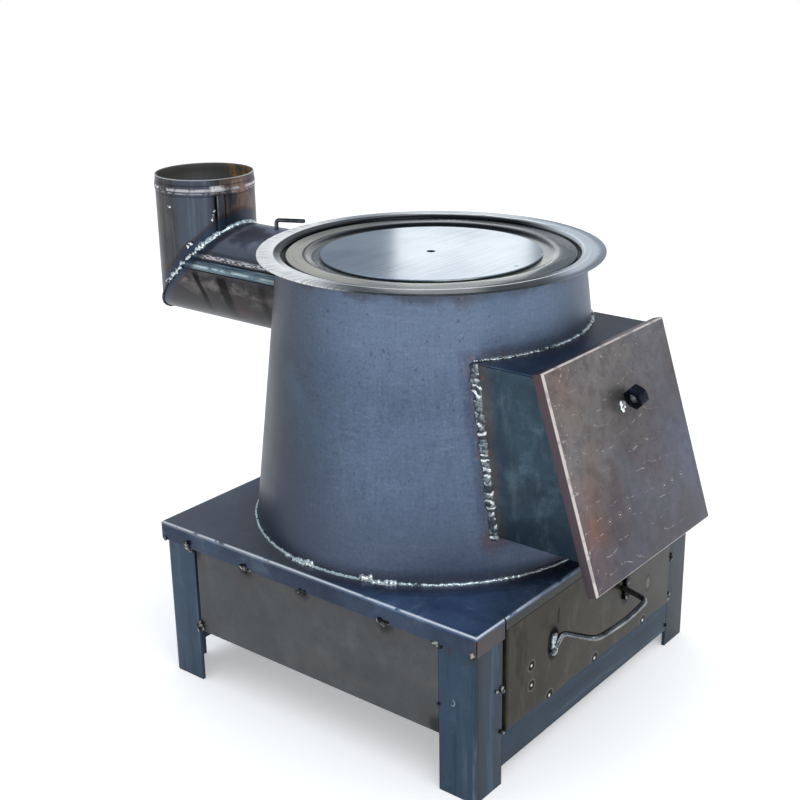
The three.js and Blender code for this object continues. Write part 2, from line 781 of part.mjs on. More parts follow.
function drawerHandle() {
  const face = -plateHalf - handleRod - seatGap;
  const bar = -plateHalf - handleReach;
  const half = handleSpan / 2;
  const slope = THREE.MathUtils.degToRad(handleFootAngle);
  const footX = half + handleFootLength * Math.cos(slope);
  const footZ = -handleFootLength * Math.sin(slope);
  return bentRod([
    [-footX, face, footZ], [-half, face, 0], [-half + handleTaper, bar, 0],
    [0, bar - handleBow, 0],
    [half - handleTaper, bar, 0], [half, face, 0], [footX, face, footZ],
  ], [handleFootBend, handleBend, handleBowBend, handleBend, handleFootBend], handleRod)
    .translate(handleCentreX, 0, handleHeight);
}

// Assembly

const stove = new THREE.Group();

const baseGroup = new THREE.Group();
stove.add(baseGroup);
addPiece(baseGroup, 'top_plate', topPlate(), navyScale).position.z = plateHeight;

const legPlaces = [
  ['leg_front_left', -1, -1], ['leg_front_right', 1, -1], ['leg_rear_right', 1, 1], ['leg_rear_left', -1, 1],
];
legPlaces.forEach(([name, sideX, sideY], quarter) => {
  const piece = addPiece(baseGroup, name, leg(), legScale);
  piece.position.set(sideX * frameHalf, sideY * frameHalf, 0);
  piece.rotation.z = quarter * Math.PI / 2;
});

addPiece(baseGroup, 'front_rail', rail(), legScale).position.set(0, -frameHalf, railTop);
const rearRail = addPiece(baseGroup, 'rear_rail', rail(), legScale);
rearRail.position.set(0, frameHalf, railTop);
rearRail.rotation.z = Math.PI;

addPiece(baseGroup, 'side_panel_left', sidePanel(), panelScale).position.x = -frameHalf;
addPiece(baseGroup, 'side_panel_right', sidePanel(), panelScale).position.x = frameHalf - panelSheet;
addPiece(baseGroup, 'rear_panel', rearPanel(), panelScale);

const runnerX = trayWidth / 2 + slideGap + runnerSheet;
const runnerZ = railTop - runnerSheet;
addPiece(baseGroup, 'drawer_runner_left', drawerRunner(), legScale).position.set(-runnerX, 0, runnerZ);
addPiece(baseGroup, 'drawer_runner_right', mirrored(drawerRunner(), -1, 1, 1), legScale)
  .position.set(runnerX, 0, runnerZ);
addPiece(baseGroup, 'fire_grate', fireGrate(), castIron);

const bodyGroup = new THREE.Group();
stove.add(bodyGroup);
addPiece(bodyGroup, 'body_shell', bodyShell(), blueScale);
addPiece(bodyGroup, 'top_flange', topFlange(), brushed);
addPiece(bodyGroup, 'reducing_ring', reducingRing(), brushed);
addPiece(bodyGroup, 'lid_disc', lidDisc(), lidSteel);

const flueGroup = new THREE.Group();
stove.add(flueGroup);
addPiece(flueGroup, 'flue_inlet_pipe', flueInletPipe(), pipeScale);
addPiece(flueGroup, 'flue_riser_pipe', flueRiserPipe(), pipeScale);
addPiece(flueGroup, 'damper_spindle', damperSpindle(), rodSteel);
addPiece(flueGroup, 'damper_plate', damperPlate(), darkSteel);
for (const [level, side] of [['upper', 1], ['lower', -1]]) {
  addPiece(flueGroup, `damper_saddle_${level}`, damperSaddle(), darkSteel)
    .position.set(0, damperOffset, flueAxisHeight + side * saddleSpacing / 2);
}

const chuteGroup = new THREE.Group();
stove.add(chuteGroup);
addPiece(chuteGroup, 'chute_trough', chuteTrough(), legScale);
addPiece(chuteGroup, 'chute_roof', chuteRoof(), navyScale);

const doorGroup = new THREE.Group();
doorGroup.position.set(0, -doorFootOffset, doorFootHeight);
doorGroup.rotation.x = -doorTiltRad;
stove.add(doorGroup);
addPiece(doorGroup, 'door_pan', doorPan(), doorScale);
const nut = addPiece(doorGroup, 'door_pull_nut', doorNut(), darkSteel);
const nutLeanRad = THREE.MathUtils.degToRad(nutLean);
const nutHeight = nutFlats / 2 * Math.cos(nutLeanRad) + nutThickness / 2 * Math.sin(nutLeanRad) + seatGap;
nut.position.set(nutX, -nutHeight, nutUp);
nut.rotation.order = 'YZX';
nut.rotation.y = -THREE.MathUtils.degToRad(nutYaw);
nut.rotation.z = -nutLeanRad;

for (const [side, x] of [['left', hingeLeftX], ['right', hingeRightX]]) {
  addPiece(chuteGroup, `hinge_chute_leaf_${side}`, hingeChuteLeaf(x), darkSteel);
  addPiece(chuteGroup, `hinge_pin_${side}`, hingePin(x), rodSteel);
  addPiece(doorGroup, `hinge_door_leaf_${side}`, hingeDoorLeaf(x), darkSteel);
}

const drawerGroup = new THREE.Group();
stove.add(drawerGroup);
addPiece(drawerGroup, 'drawer_front', drawerFront(), drawerScale);
addPiece(drawerGroup, 'ash_tray', ashTray(), traySteel);
addPiece(drawerGroup, 'drawer_handle', drawerHandle(), rodSteel);

// The origin is the middle of the whole footprint, on the floor.
const bounds = new THREE.Box3().setFromObject(stove, true);
stove.position.y = -(bounds.min.y + bounds.max.y) / 2;

export default stove;
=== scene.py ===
"""The look of a welded sheet-steel heating stove.

Metres, +Z up, front towards -Y. Places on the stove are given in millimetres from the fire
body's own axis and the floor, and go through at() or on_door(). Inside a finish all lengths
are in metres, as the shader's Object coordinates are, and angles are in degrees or radians.
"""

import math
import random

import bmesh
import bpy
from mathutils import Matrix, Vector


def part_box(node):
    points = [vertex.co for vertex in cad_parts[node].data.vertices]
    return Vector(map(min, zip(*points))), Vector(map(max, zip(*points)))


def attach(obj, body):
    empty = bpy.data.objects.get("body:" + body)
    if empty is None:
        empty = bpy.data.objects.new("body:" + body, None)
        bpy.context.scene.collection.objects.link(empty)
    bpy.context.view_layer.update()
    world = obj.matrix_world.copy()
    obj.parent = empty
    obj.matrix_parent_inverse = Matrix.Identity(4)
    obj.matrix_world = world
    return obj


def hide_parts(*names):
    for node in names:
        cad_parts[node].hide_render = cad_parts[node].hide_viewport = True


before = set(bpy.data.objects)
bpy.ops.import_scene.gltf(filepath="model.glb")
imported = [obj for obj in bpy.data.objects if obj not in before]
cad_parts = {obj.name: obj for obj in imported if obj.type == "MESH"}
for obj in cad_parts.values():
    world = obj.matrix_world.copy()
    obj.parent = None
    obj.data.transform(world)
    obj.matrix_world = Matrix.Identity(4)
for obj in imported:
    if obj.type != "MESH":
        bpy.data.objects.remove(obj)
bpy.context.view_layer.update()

MM = 0.001
AXIS_Y = -60.19  # the fire body's axis, from the middle of the footprint
PLATE_HALF = 220
PLATE_TOP = 191
HOB_TOP = 494
BODY_FOOT = 202  # the fire body's radius at the plate
BODY_RIM = 166.4  # and at the hob
BODY_TAPER = 0.1175  # what the radius loses per unit of height
CHUTE_FLOOR = 238
CHUTE_TOP = 420
CHUTE_HALF = 110
DOOR_TILT = math.radians(17.75)
DOOR_FOOT = (-290, 211.5)
FLUE_AXIS = 424
FLUE_RADIUS = 60.5
RISER_AXIS = 348
RISER_BEAD = 527.5
HANDLE_FEET = (-84.5, 64.5)
DEGREES = 180 / math.pi
WHITE = (1, 1, 1, 1)


def at(x, y, z):
    return Vector((x, y + AXIS_Y, z)) * MM


def on_door(x, up, out=0):
    """A point on the feed door's face, so far up the slope and so far out from it."""
    y = DOOR_FOOT[0] + up * math.sin(DOOR_TILT) - out * math.cos(DOOR_TILT)
    z = DOOR_FOOT[1] + up * math.cos(DOOR_TILT) + out * math.sin(DOOR_TILT)
    return at(x, y, z)


def body_radius(z):
    return BODY_FOOT + (BODY_RIM - BODY_FOOT) * (z - PLATE_TOP) / (HOB_TOP - PLATE_TOP)


def front_right(x, y):
    """How far a place lies towards the base's front right corner."""
    return x * 0.625 - y * 0.781


def rear_left(x, y):
    return y * 0.781 - x * 0.625


def rear_right(x, y):
    return x * 0.781 + y * 0.625


def evenly(start, end, steps):
    return [start + (end - start) * i / steps for i in range(steps + 1)]


def directions(degrees):
    """Cosine and sine of each angle."""
    return [(math.cos(angle), math.sin(angle)) for angle in map(math.radians, degrees)]


# Camera and lamps


def aim_camera():
    """The photo's camera, solved from the base plate, the flange, the flue and the mitre."""
    lens = bpy.data.cameras.new("view")
    lens.sensor_width = 36
    lens.lens = 61.2
    lens.shift_x = -0.0094
    lens.shift_y = -0.0066
    lens.clip_start = 0.05
    lens.clip_end = 50
    camera = bpy.data.objects.new("view", lens)
    place = at(-1140, -876.5, 841.9)
    azimuth, elevation, roll = map(math.radians, (-51.344, 19.764, -0.844))
    back = Vector((
        math.sin(azimuth) * math.cos(elevation),
        -math.cos(azimuth) * math.cos(elevation),
        math.sin(elevation),
    ))
    right = Vector((math.cos(azimuth), math.sin(azimuth), 0))
    up = back.cross(right)
    leaning_right = right * math.cos(roll) + up * math.sin(roll)
    leaning_up = up * math.cos(roll) - right * math.sin(roll)
    turn = Matrix((leaning_right, leaning_up, back)).transposed()
    camera.matrix_world = Matrix.Translation(place) @ turn.to_4x4()
    bpy.context.collection.objects.link(camera)
    bpy.context.scene.camera = camera


def hang_lamp(name, place, target, size, watts):
    light = bpy.data.lights.new(name, "AREA")
    light.shape = "RECTANGLE"
    light.size, light.size_y = size
    light.energy = watts
    lamp = bpy.data.objects.new(name, light)
    lamp.location = place
    lamp.rotation_euler = (Vector(target) - Vector(place)).to_track_quat("-Z", "Y").to_euler()
    bpy.context.collection.objects.link(lamp)


# Shader work


def sum_of(operation):
    """A method of Wire that adds one math node."""
    return lambda self, *others: self.finish.sum(operation, self, *others)


class Wire:
    """An output socket that takes part in ordinary sums."""

    def __init__(self, finish, socket):
        self.finish = finish
        self.socket = socket

    def __rsub__(self, other):
        return self.finish.sum("SUBTRACT", other, self)

    __add__ = __radd__ = sum_of("ADD")
    __sub__ = sum_of("SUBTRACT")
    __mul__ = __rmul__ = sum_of("MULTIPLY")
    __truediv__ = sum_of("DIVIDE")
    __pow__ = sum_of("POWER")
    __abs__ = sum_of("ABSOLUTE")

    def step(self, low, high, to_low=0, to_high=1):
        """A smooth change from to_low to to_high while the value goes from low to high."""
        return self.finish.node(
            "ShaderNodeMapRange",
            {"interpolation_type": "SMOOTHSTEP"},
            {"Value": self, "From Min": low, "From Max": high, "To Min": to_low, "To Max": to_high},
        )

    def fall(self, low, high):
        return self.step(low, high, 1, 0)

    def band(self, centre, half, soft):
        """1 within half of centre, falling to 0 over soft."""
        return abs(self - centre).fall(half, half + soft)


def linear(code):
    """A written colour such as 5a6478 as linear red, green, blue and alpha."""
    parts = [int(code[i:i + 2], 16) / 255 for i in (0, 2, 4)]
    return tuple(c / 12.92 if c <= 0.04045 else ((c + 0.055) / 1.055) ** 2.4 for c in parts) + (1,)


class Finish:
    """A metal finish under construction: a node tree, and a colour painted in layers."""

    def __init__(self, name, tree=None):
        if tree is None:
            self.material = bpy.data.materials.new(name)
            self.material.use_nodes = True
            tree = self.material.node_tree
        self.tree = tree
        self.place = self.node("ShaderNodeTexCoord", output="Object")
        self.colour = self.roughness = self.height = self.black = self.bare = None

    def node(self, kind, settings=None, inputs=None, output=0):
        made = self.tree.nodes.new(kind)
        for key, value in (settings or {}).items():
            setattr(made, key, value)
        self.join(made, inputs or {})
        return Wire(self, made.outputs[output])

    def join(self, made, inputs):
        for key, value in inputs.items():
            if isinstance(value, Wire):
                self.tree.links.new(value.socket, made.inputs[key])
            else:
                made.inputs[key].default_value = value

    def sum(self, operation, *values):
        return self.node("ShaderNodeMath", {"operation": operation}, dict(enumerate(values)))

    def greatest(self, top, *others):
        for other in others:
            top = self.sum("MAXIMUM", top, other)
        return top

    def least(self, low, *others):
        for other in others:
            low = self.sum("MINIMUM", low, other)
        return low

    def axes(self, vector=None):
        split = self.node("ShaderNodeSeparateXYZ", None, {0: vector or self.place})
        return [Wire(self, output) for output in split.socket.node.outputs]

    def from_axis(self):
        """x, y and z, with y from the fire body's axis."""
        x, y, z = self.axes()
        return x, y - AXIS_Y * MM, z

    def joined(self, x, y, z):
        return self.node("ShaderNodeCombineXYZ", None, {0: x, 1: y, 2: z})

    def moved(self, offset=(0, 0, 0), turn=(0, 0, 0), scale=(1, 1, 1)):
        inputs = {"Vector": self.place, "Location": offset, "Rotation": turn, "Scale": scale}
        return self.node("ShaderNodeMapping", None, inputs)

    def noise(self, per_metre, detail=3, rough=0.55, vector=None, warp=0, **shift):
        """Clouds, so many to a metre; shift is what moved() takes."""
        vector = self.moved(**shift) if shift else vector or self.place
        inputs = {"Vector": vector, "Scale": per_metre, "Detail": detail, "Roughness": rough}
        return self.node("ShaderNodeTexNoise", None, {**inputs, "Distortion": warp})

    def drawn(self, x, y, z, detail=4, rough=0.6):
        """Noise over three values, drawn out along the one that changes least."""
        return self.noise(1, detail, rough, self.joined(x, y, z))

    def far(self, point):
        """Distance to a point of the stove."""
        ends = {0: self.place, 1: tuple(point)}
        return self.node("ShaderNodeVectorMath", {"operation": "DISTANCE"}, ends, "Value")

    def rays(self):
        """Whether a camera, a glossy or a transmission ray asks."""
        outputs = self.node("ShaderNodeLightPath").socket.node.outputs
        kinds = ("Camera", "Glossy", "Transmission")
        return [Wire(self, outputs["Is %s Ray" % kind]) for kind in kinds]

    def mix(self, a, b, mask, how="MIX"):
        a, b = (linear(c) if isinstance(c, str) else c for c in (a, b))
        settings = {"data_type": "RGBA", "blend_type": how}
        return self.node("ShaderNodeMix", settings, {0: mask, 6: a, 7: b}, 2)

    def paint(self, tone, mask, how="MIX"):
        """One more layer over the colour, as strong as mask."""
        self.colour = self.mix(self.colour, tone, mask, how)

    def blacken(self, mask, tone="0b0b0c"):
        """Soot, dirt, painted shade and painted dark reflections, which give back no gleam either."""
        self.black = mask if self.black is None else self.greatest(self.black, mask)
        self.paint(tone, mask)

    def whiten(self, mask, tone):
        """Scraped and rusty spots, and painted highlights, which scatter light instead of mirroring it.
        """
        self.bare = mask if self.bare is None else self.greatest(self.bare, mask)
        self.paint(tone, mask)

    def done(self, roughness, metallic, height=None, depth=0.0002, strength=1):
        shader = self.tree.nodes["Principled BSDF"]
        self.join(shader, {"Base Color": self.colour, "Roughness": roughness, "Metallic": metallic})
        if height is not None:
            inputs = {"Height": height, "Distance": depth, "Strength": strength}
            self.join(shader, {"Normal": self.node("ShaderNodeBump", None, inputs)})
        return self.material


# World and floor


def light_the_world():
    """White to the camera; for metal, white near the horizon and a dimmer room above it."""
    world = bpy.data.worlds.new("daylight")
    world.use_nodes = True
    tree = world.node_tree
    tree.nodes.clear()
    sky = Finish("sky", tree)
    x, y, z = sky.axes(sky.node("ShaderNodeTexCoord", output="Generated"))
    backdrop = rear_right(x, y).step(-0.1, 0.55)
    sides = abs(front_right(x, y)).step(0.25, 0.9)
    above = z.step(0.4, 0.62)
    horizon = z.fall(0.08, 0.2)
    room = 0.16 + z.step(0.3, 0.95) * 0.62
    wall = 0.36 - sides * 0.08
    mirrored = backdrop * (wall * (1 - above) + room * above * 0.86) + (1 - backdrop) * room
    mirrored = mirrored * (1 - horizon) + horizon
    daylight = 0.72 + z.step(0.1, 0.9) * 0.35
    camera, glossy, through = sky.rays()

    def background(colour, strength):
        return sky.node("ShaderNodeBackground", None, {"Color": colour, "Strength": strength})

    def either(share, first, second):
        return sky.node("ShaderNodeMixShader", None, {0: share, 1: first, 2: second})

    studio = background(sky.mix("c9dcf4", "ffffff", horizon), mirrored)
    seen = either(glossy, background(linear("eef2f8"), daylight), studio)
    seen = either(sky.greatest(camera, through), seen, background(WHITE, 1))
    out = tree.nodes.new("ShaderNodeOutputWorld")
    tree.links.new(seen.socket, out.inputs["Surface"])
    bpy.context.scene.world = world


def lay_floor():
    """A pale floor, lifted to white for the rays that show it, that keeps the stove's shadow."""
    bm = bmesh.new()
    bmesh.ops.create_grid(bm, x_segments=2, y_segments=2, size=6)
    floor = new_object("floor", bm)
    finish = Finish("pale_floor")
    finish.colour = (0.9, 0.9, 0.9, 1)
    finish.done(0.9, 0)
    lift = finish.mix((0, 0, 0, 1), (0.35, 0.35, 0.35, 1), finish.greatest(*finish.rays()))
    glow = {"Emission Color": lift, "Emission Strength": 1}
    finish.join(finish.tree.nodes["Principled BSDF"], glow)
    floor.data.materials.append(finish.material)


# Mesh work


def new_object(name, bm, smooth=False):
    mesh = bpy.data.meshes.new(name)
    if smooth:
        for face in bm.faces:
            face.smooth = True
    bm.to_mesh(mesh)
    bm.free()
    made = bpy.data.objects.new(name, mesh)
    bpy.context.collection.objects.link(made)
    return made


def settled(piece):
    """The piece with its modifiers worked into its mesh."""
    graph = bpy.context.evaluated_depsgraph_get()
    mesh = bpy.data.meshes.new_from_object(piece.evaluated_get(graph))
    piece.modifiers.clear()
    old, piece.data = piece.data, mesh
    mesh.name = piece.name
    bpy.data.meshes.remove(old)
    return piece


def dress(piece, body, slot, finish):
    piece.data.materials.clear()
    piece.data.materials.append(finish)
    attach(piece, body)


def rounded(piece, width):
    """A bevel of a width in millimetres along the edges."""
    bevel = piece.modifiers.new("rounded_edges", "BEVEL")
    bevel.width = width * MM
    bevel.segments = 2
    return bevel


def refined(node, body, finish, crease=35, rounding=0.35, slot=None):
    """The CAD solid with merged corners, smooth curves and slightly rounded edges.

    The slot is not used.
    """
    bm = bmesh.new()
    bm.from_mesh(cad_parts[node].data)
    bmesh.ops.remove_doubles(bm, verts=bm.verts, dist=1e-6)
    bmesh.ops.dissolve_limit(
        bm, angle_limit=math.radians(0.6), use_dissolve_boundaries=False,
        verts=bm.verts, edges=bm.edges, delimit=set(),
    )
    for edge in bm.edges:
        edge.smooth = edge.calc_face_angle(0) < math.radians(crease)
    piece = new_object(node + "_look", bm, smooth=True)
    bevel = rounded(piece, rounding)
    bevel.limit_method = "ANGLE"
    bevel.angle_limit = math.radians(50)
    bevel.harden_normals = False
    settled(piece)
    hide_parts(node)
    dress(piece, body, slot or finish.name.split(".")[0], finish)


def melted(name, bm, grain, passes):
    """Lumps of weld metal under one skin of a grain in millimetres, eased so many times."""
    piece = new_object(name, bm, smooth=True)
    skin = piece.modifiers.new("skin", "REMESH")
    skin.mode = "VOXEL"
    skin.voxel_size = grain * MM
    skin.use_smooth_shade = True
    eased = piece.modifiers.new("eased", "SMOOTH")
    eased.factor = 0.5
    eased.iterations = passes
    return settled(piece)


def bead(name, path, width, body, slot, finish, seed, pitch, wander, flat, grain):
    """A weld: overlapping ripples along a path of (point, outward) pairs.

    The ripples are so wide in millimetres, and pitch, wander and flat are shares of that.
    """
    dice = random.Random(seed)
    bm = bmesh.new()
    points, outwards = zip(*path)
    lengths = [0]
    for a, b in zip(points, points[1:]):
        lengths.append(lengths[-1] + (b - a).length)
    travelled, k = 0, 0
    while travelled <= lengths[-1]:
        while k < len(lengths) - 2 and lengths[k + 1] < travelled:
            k += 1
        share = (travelled - lengths[k]) / max(lengths[k + 1] - lengths[k], 1e-9)
        centre = points[k].lerp(points[k + 1], share)
        outward = outwards[k].lerp(outwards[k + 1], share).normalized()
        along = (points[k + 1] - points[k]).normalized()
        across = outward.cross(along).normalized()
        radius = width * MM / 2 * dice.uniform(0.82, 1.18)
        aside = across * dice.gauss(0, wander) * width * MM
        centre = centre + aside + outward * dice.gauss(0, 0.05) * width * MM
        turn = Matrix((along, across, outward)).transposed().to_4x4()
        place = Matrix.Translation(centre) @ turn @ Matrix.Diagonal((0.75, 1, flat, 1))
        bmesh.ops.create_icosphere(bm, subdivisions=1, radius=radius, matrix=place)
        travelled += width * MM * pitch * dice.uniform(0.7, 1.3)
    dress(melted(name, bm, grain, 2), body, slot, finish)


def ring_path(radius, z, steps, start=0, end=360):
    """A level circle about the fire body's axis, with the weld's face turned out and up."""
    for x, y in directions(evenly(start, end, steps)):
        away = Vector((x, y, 0))
        yield at(radius * away.x, radius * away.y, z), (away + Vector((0, 0, 0.6))).normalized()


def tacks(name, spots, body, slot, finish, seed):
    """Short blobs of weld metal, each a (centre, outward, size, stretch, lumps)."""
    dice = random.Random(seed)
    bm = bmesh.new()
    for centre, outward, size, stretch, lumps in spots:
        outward = Vector(outward).normalized()
        side = outward.orthogonal().normalized()
        over = outward.cross(side)
        turn = Matrix((side, over, outward)).transposed().to_4x4()
        for _ in range(lumps):
            spread = side * dice.gauss(0, 0.28) * stretch[0]
            spread += over * dice.gauss(0, 0.28) * stretch[1]
            radius = size * MM / 2 * dice.uniform(0.5, 0.85)
            middle = Matrix.Translation(centre + spread * size * MM)
            place = middle @ turn @ Matrix.Diagonal((1, 1, 0.7, 1))
            bmesh.ops.create_icosphere(bm, subdivisions=2, radius=radius, matrix=place)
    dress(melted(name, bm, 0.5, 3), body, slot, finish)


# Finishes


def distance(x, y):
    return (x * x + y * y) ** 0.5


def mill_scale(name, deep, middle, pale, metal, rough, marks=None, drift=(0, 0, 0), contrast=1):
    """Rolled steel with its oxide skin: clouds, fine grain, dark specks and hairline scratches.

    marks(finish) adds what one piece alone shows to its colour, roughness and height.
    """
    f = Finish(name)
    here = f.moved(offset=drift)
    clouds = f.noise(9, 4, 0.6, here, 0.6)
    patches = f.noise(38, 5, 0.65, here, 0.4)
    grain = f.noise(420, 3, 0.6, here)
    tone = (clouds * 0.6 + patches * 0.4).step(0.3, 0.7)
    f.colour = f.mix(middle, deep, (1 - tone) * contrast)
    lift = f.noise(22, 6, 0.7, offset=(3.1, 1.7, 0.4)).step(0.5, 0.75)
    f.paint(pale, lift * 0.5 * contrast)
    f.paint("ffffff", grain * 0.22 - 0.08, "SOFT_LIGHT")
    specks = f.noise(260, 2, 0.5, here).step(0.66, 0.74)
    f.paint(deep, specks * 0.55)
    hair = f.noise(60, 2, 0.5, turn=(0.4, 0.7, 0.5), scale=(1, 18, 18))
    scratches = hair.step(0.68, 0.74) * clouds.step(0.42, 0.6)
    f.paint(pale, scratches * 0.35)
    f.roughness = rough + (clouds - 0.5) * 0.25 + (grain - 0.5) * 0.12 - scratches * 0.08
    f.height = grain * 0.35 + patches * 0.5 + scratches * -0.3
    if marks:
        marks(f)
    # black carries soot, dirt and painted shade; bare carries scrapes, rust and painted highlights.
    metallic = metal
    if f.black is not None:
        metallic = metal + f.black * (1 - metal)
    if f.bare is not None:
        metallic = (1 - f.bare * 0.8) * metallic
    return f.done(f.roughness, metallic, f.height, 0.00012, 0.6)


def heat_tint(f, away, wide=0.02, force=1):
    """Straw, brown and blue bands beside a weld; away is the distance from it."""
    reach = away + (f.noise(70, 4, 0.6) - 0.5) * wide * 0.7
    blue = reach.band(wide * 0.85, wide * 0.12, wide * 0.4)
    brown = reach.band(wide * 0.4, wide * 0.15, wide * 0.3)
    ash = reach.fall(wide * 0.05, wide * 0.35)
    f.paint("26324f", blue * 0.4 * force)
    f.paint("4a3a36", brown * 0.5 * force)
    f.paint("5d5a58", ash * 0.6 * force)


def rust(f, mask, per_metre=120):
    """Orange specks where mask allows them."""
    grains = f.noise(per_metre, 5, 0.7, offset=(5, 2, 1)).step(0.54, 0.66)
    f.paint("7a4a2c", grains * mask)


def body_marks(f):
    """Heat and rust at the welds, scorches, a rolled weave, painted shade on both flanks and teal
    patches.
    """
    x, y, z = f.from_axis()
    angle = f.sum("ARCTAN2", x, 0 - y)
    heat_tint(f, z - (PLATE_TOP + 2) * MM, 0.01, 0.8)
    rust(f, z.fall(PLATE_TOP * MM, 0.235) * 0.25)
    outline = f.greatest(abs(x) - CHUTE_HALF * MM, z - CHUTE_TOP * MM, CHUTE_FLOOR * MM - z)
    near_chute = abs(outline) + (1 - y.fall(-0.11, -0.09)) * 0.5
    heat_tint(f, near_chute, 0.01, 0.8)
    rust(f, near_chute.step(0, 0.013, 0.9, 0), 150)
    rim = (z + (f.noise(34, 4) - 0.5) * 0.03).step(0.4775, 0.4865)
    f.paint("2f201a", rim * 0.8)
    scorch = f.far(at(-112, -126, 484)) + (f.noise(60) - 0.5) * 0.02
    f.paint("4a2a1c", scorch.fall(0.004, 0.02) * 0.6)
    for corner in (-111, 111):
        burnt = f.far(at(corner, -163, 234)) + (f.noise(80) - 0.5) * 0.014
        f.paint("5e3f30", burnt.fall(0.006, 0.022) * 0.7)
    rolled = f.noise(14, 3, 0.5, f.joined(angle * 0.3, z * 7, 0))
    f.paint("8793a8", rolled.step(0.55, 0.75) * 0.2)
    level = f.drawn(angle * 9, z * 330, 0, 4, 0.7)
    upright = f.drawn(angle * 60, z * 26, 5, 4, 0.7)
    speckle = f.noise(340, 3, 0.6, offset=(7, 1, 0))
    weave = level * 0.3 + upright * 0.25 + speckle * 0.45
    f.paint("36404f", weave.step(0.5, 0.62) * 0.42)
    f.paint("93a2bb", weave.step(0.48, 0.36) * 0.3)
    left = rear_left(x, y).step(0.06, 0.18)
    right = front_right(x, y).step(0.08, 0.165)
    # Painted shade: the rear left and the front right flank are darkened.
    f.paint("262c35", left * 0.92)
    f.paint("323a45", right * 0.9)
    f.paint("a4bad8", z.step(0.37, 0.475) * 0.2 * (1 - left))
    f.paint("434d5f", z.step(0.33, 0.21) * 0.55)
    teal = f.noise(6, 3, 0.5, offset=(2, 0, 1)).step(0.46, 0.62)
    f.paint("587488", teal * z.step(0.28, 0.42) * 0.45)
    pits = f.noise(190, 2, 0.5, offset=(1, 4, 2)).step(0.66, 0.72)
    pits = pits * z.step(0.3, 0.42) * f.greatest(x.step(0.03, -0.05), 0.35)
    f.paint("2c313b", pits * 0.4)
    f.height -= pits * 0.4


def plate_marks(f):
    """A worn bright edge, heat at the body's foot, dust, dark skirts and an olive front flap."""
    x, y, z = f.from_axis()
    from_body = distance(x, y) - BODY_FOOT * MM
    heat_tint(f, abs(from_body), 0.02)
    edge = f.greatest(abs(x), abs(y))
    worn = (edge + z).step(0.4082, 0.4088) * f.noise(45, 4).step(0.34, 0.44)
    worn = worn * (1 - y.step(-0.205, -0.215) * x.step(-0.17, -0.08) * 0.6)
    skirt = z.fall(0.186, 0.189)
    f.paint("1b1e26", skirt * 0.75)
    grey = (y * 0.625 + x * -0.781).step(0.1, 0.24) * (1 - skirt)
    f.paint("7f8083", grey * 0.78)
    f.whiten(worn * 0.95, "e9eef4")
    dust = f.noise(560, 2, 0.5, offset=(4, 4, 1)).step(0.7, 0.76)
    f.whiten(dust * (1 - skirt) * f.noise(9).step(0.46, 0.6) * 0.5, "b9c6d8")
    front = y.step(-0.215, -0.2185) * skirt
    f.paint("54463d", front * abs(x).step(0.15, 0.2) * 0.7)
    f.paint("35322b", front * abs(x).step(0.18, 0.165) * 0.85)


def door_marks(f):
    """Scratched rows, a soot smudge round the nut, worn edges with a painted highlight on their bends,
    chips and the hinges' spot welds.
    """
    x, y, z = f.from_axis()
    sine, cosine = math.sin(DOOR_TILT), math.cos(DOOR_TILT)
    behind, above = y - DOOR_FOOT[0] * MM, z - DOOR_FOOT[1] * MM
    up = behind * sine + above * cosine
    into = behind * cosine - above * sine
    face = into.fall(0.0006, 0.0016)
    left = x.fall(-0.112, -0.05)
    right = x.step(0.02, 0.11)
    red = f.noise(16, 5, 0.6, offset=(2, 0, 5)).step(0.42, 0.62)
    blue = f.noise(13, 3, 0.5, offset=(9, 1, 2)).step(0.48, 0.62)
    f.paint("80604a", x.step(-0.05, -0.11) * 0.35)
    f.paint("784d38", left * red * 0.8)
    f.paint("8d5a4a", x.band(-0.104, 0.005, 0.012) * up.band(0.07, 0.02, 0.05) * face * 0.5)
    f.paint("5b667c", right * f.noise(11, 4).step(0.36, 0.6) * 0.65)
    f.paint("5f6674", blue * 0.45)
    nut = f.far(on_door(4, 165))
    f.paint("2e2b2a", nut.fall(0.01, 0.04) * face * 0.75)
    f.paint("a8a39c", (up - x * 0.6).step(0.08, 0.24) * face * 0.4)
    f.paint("454650", up.step(0.09, 0) * 0.5)
    arcs = scratched_rows(f, x, up) * x.step(0.085, 0.02) * up.step(0.205, 0.19)
    fleck = f.noise(170, 2, 0.5, offset=(3, 1, 2)).step(0.7, 0.76)
    f.whiten(arcs * face * 0.6, "bfb1a8")
    dust = f.noise(75, 5, 0.7, offset=(6, 1, 3)).step(0.44, 0.64)
    f.paint("3d3a3d", dust * face * 0.35)
    f.paint("2f2b2d", fleck * face * 0.5)
    # The edges: worn bright metal with a painted highlight along each bend.
    left_edge, top_edge = x.band(-0.1163, 0.0006, 0.0008), up.band(0.2253, 0.0006, 0.0008)
    right_edge, low_edge = x.band(0.117, 0.0008, 0.001), up.band(0, 0.0008, 0.0012)
    breaks = f.noise(60).step(0.3, 0.5)
    ground = f.greatest(left_edge, top_edge, right_edge * 0.5, low_edge * 0.6)
    ground = ground * f.greatest(breaks, 0.6) * into.fall(0.002, 0.003)
    f.paint("4b3e45", (1 - face) * into.step(0.0022, 0.0034) * 0.85)
    chips = f.noise(230, 3, 0.6, offset=(8, 2, 3)).step(0.64, 0.7)
    chips = chips * face * f.greatest(up.step(0.195, 0.222), x.step(-0.075, -0.11))
    f.whiten(chips * 0.6, "dcd2c8")
    f.whiten(ground * 0.9, "e3d8d2")
    spot_welds(f, [on_door(a, 61) for a in (-68, -48, -29, 43, 60, 80)], 3, 0.2)
    f.roughness -= ground * 0.1
    f.height += arcs * 0.4


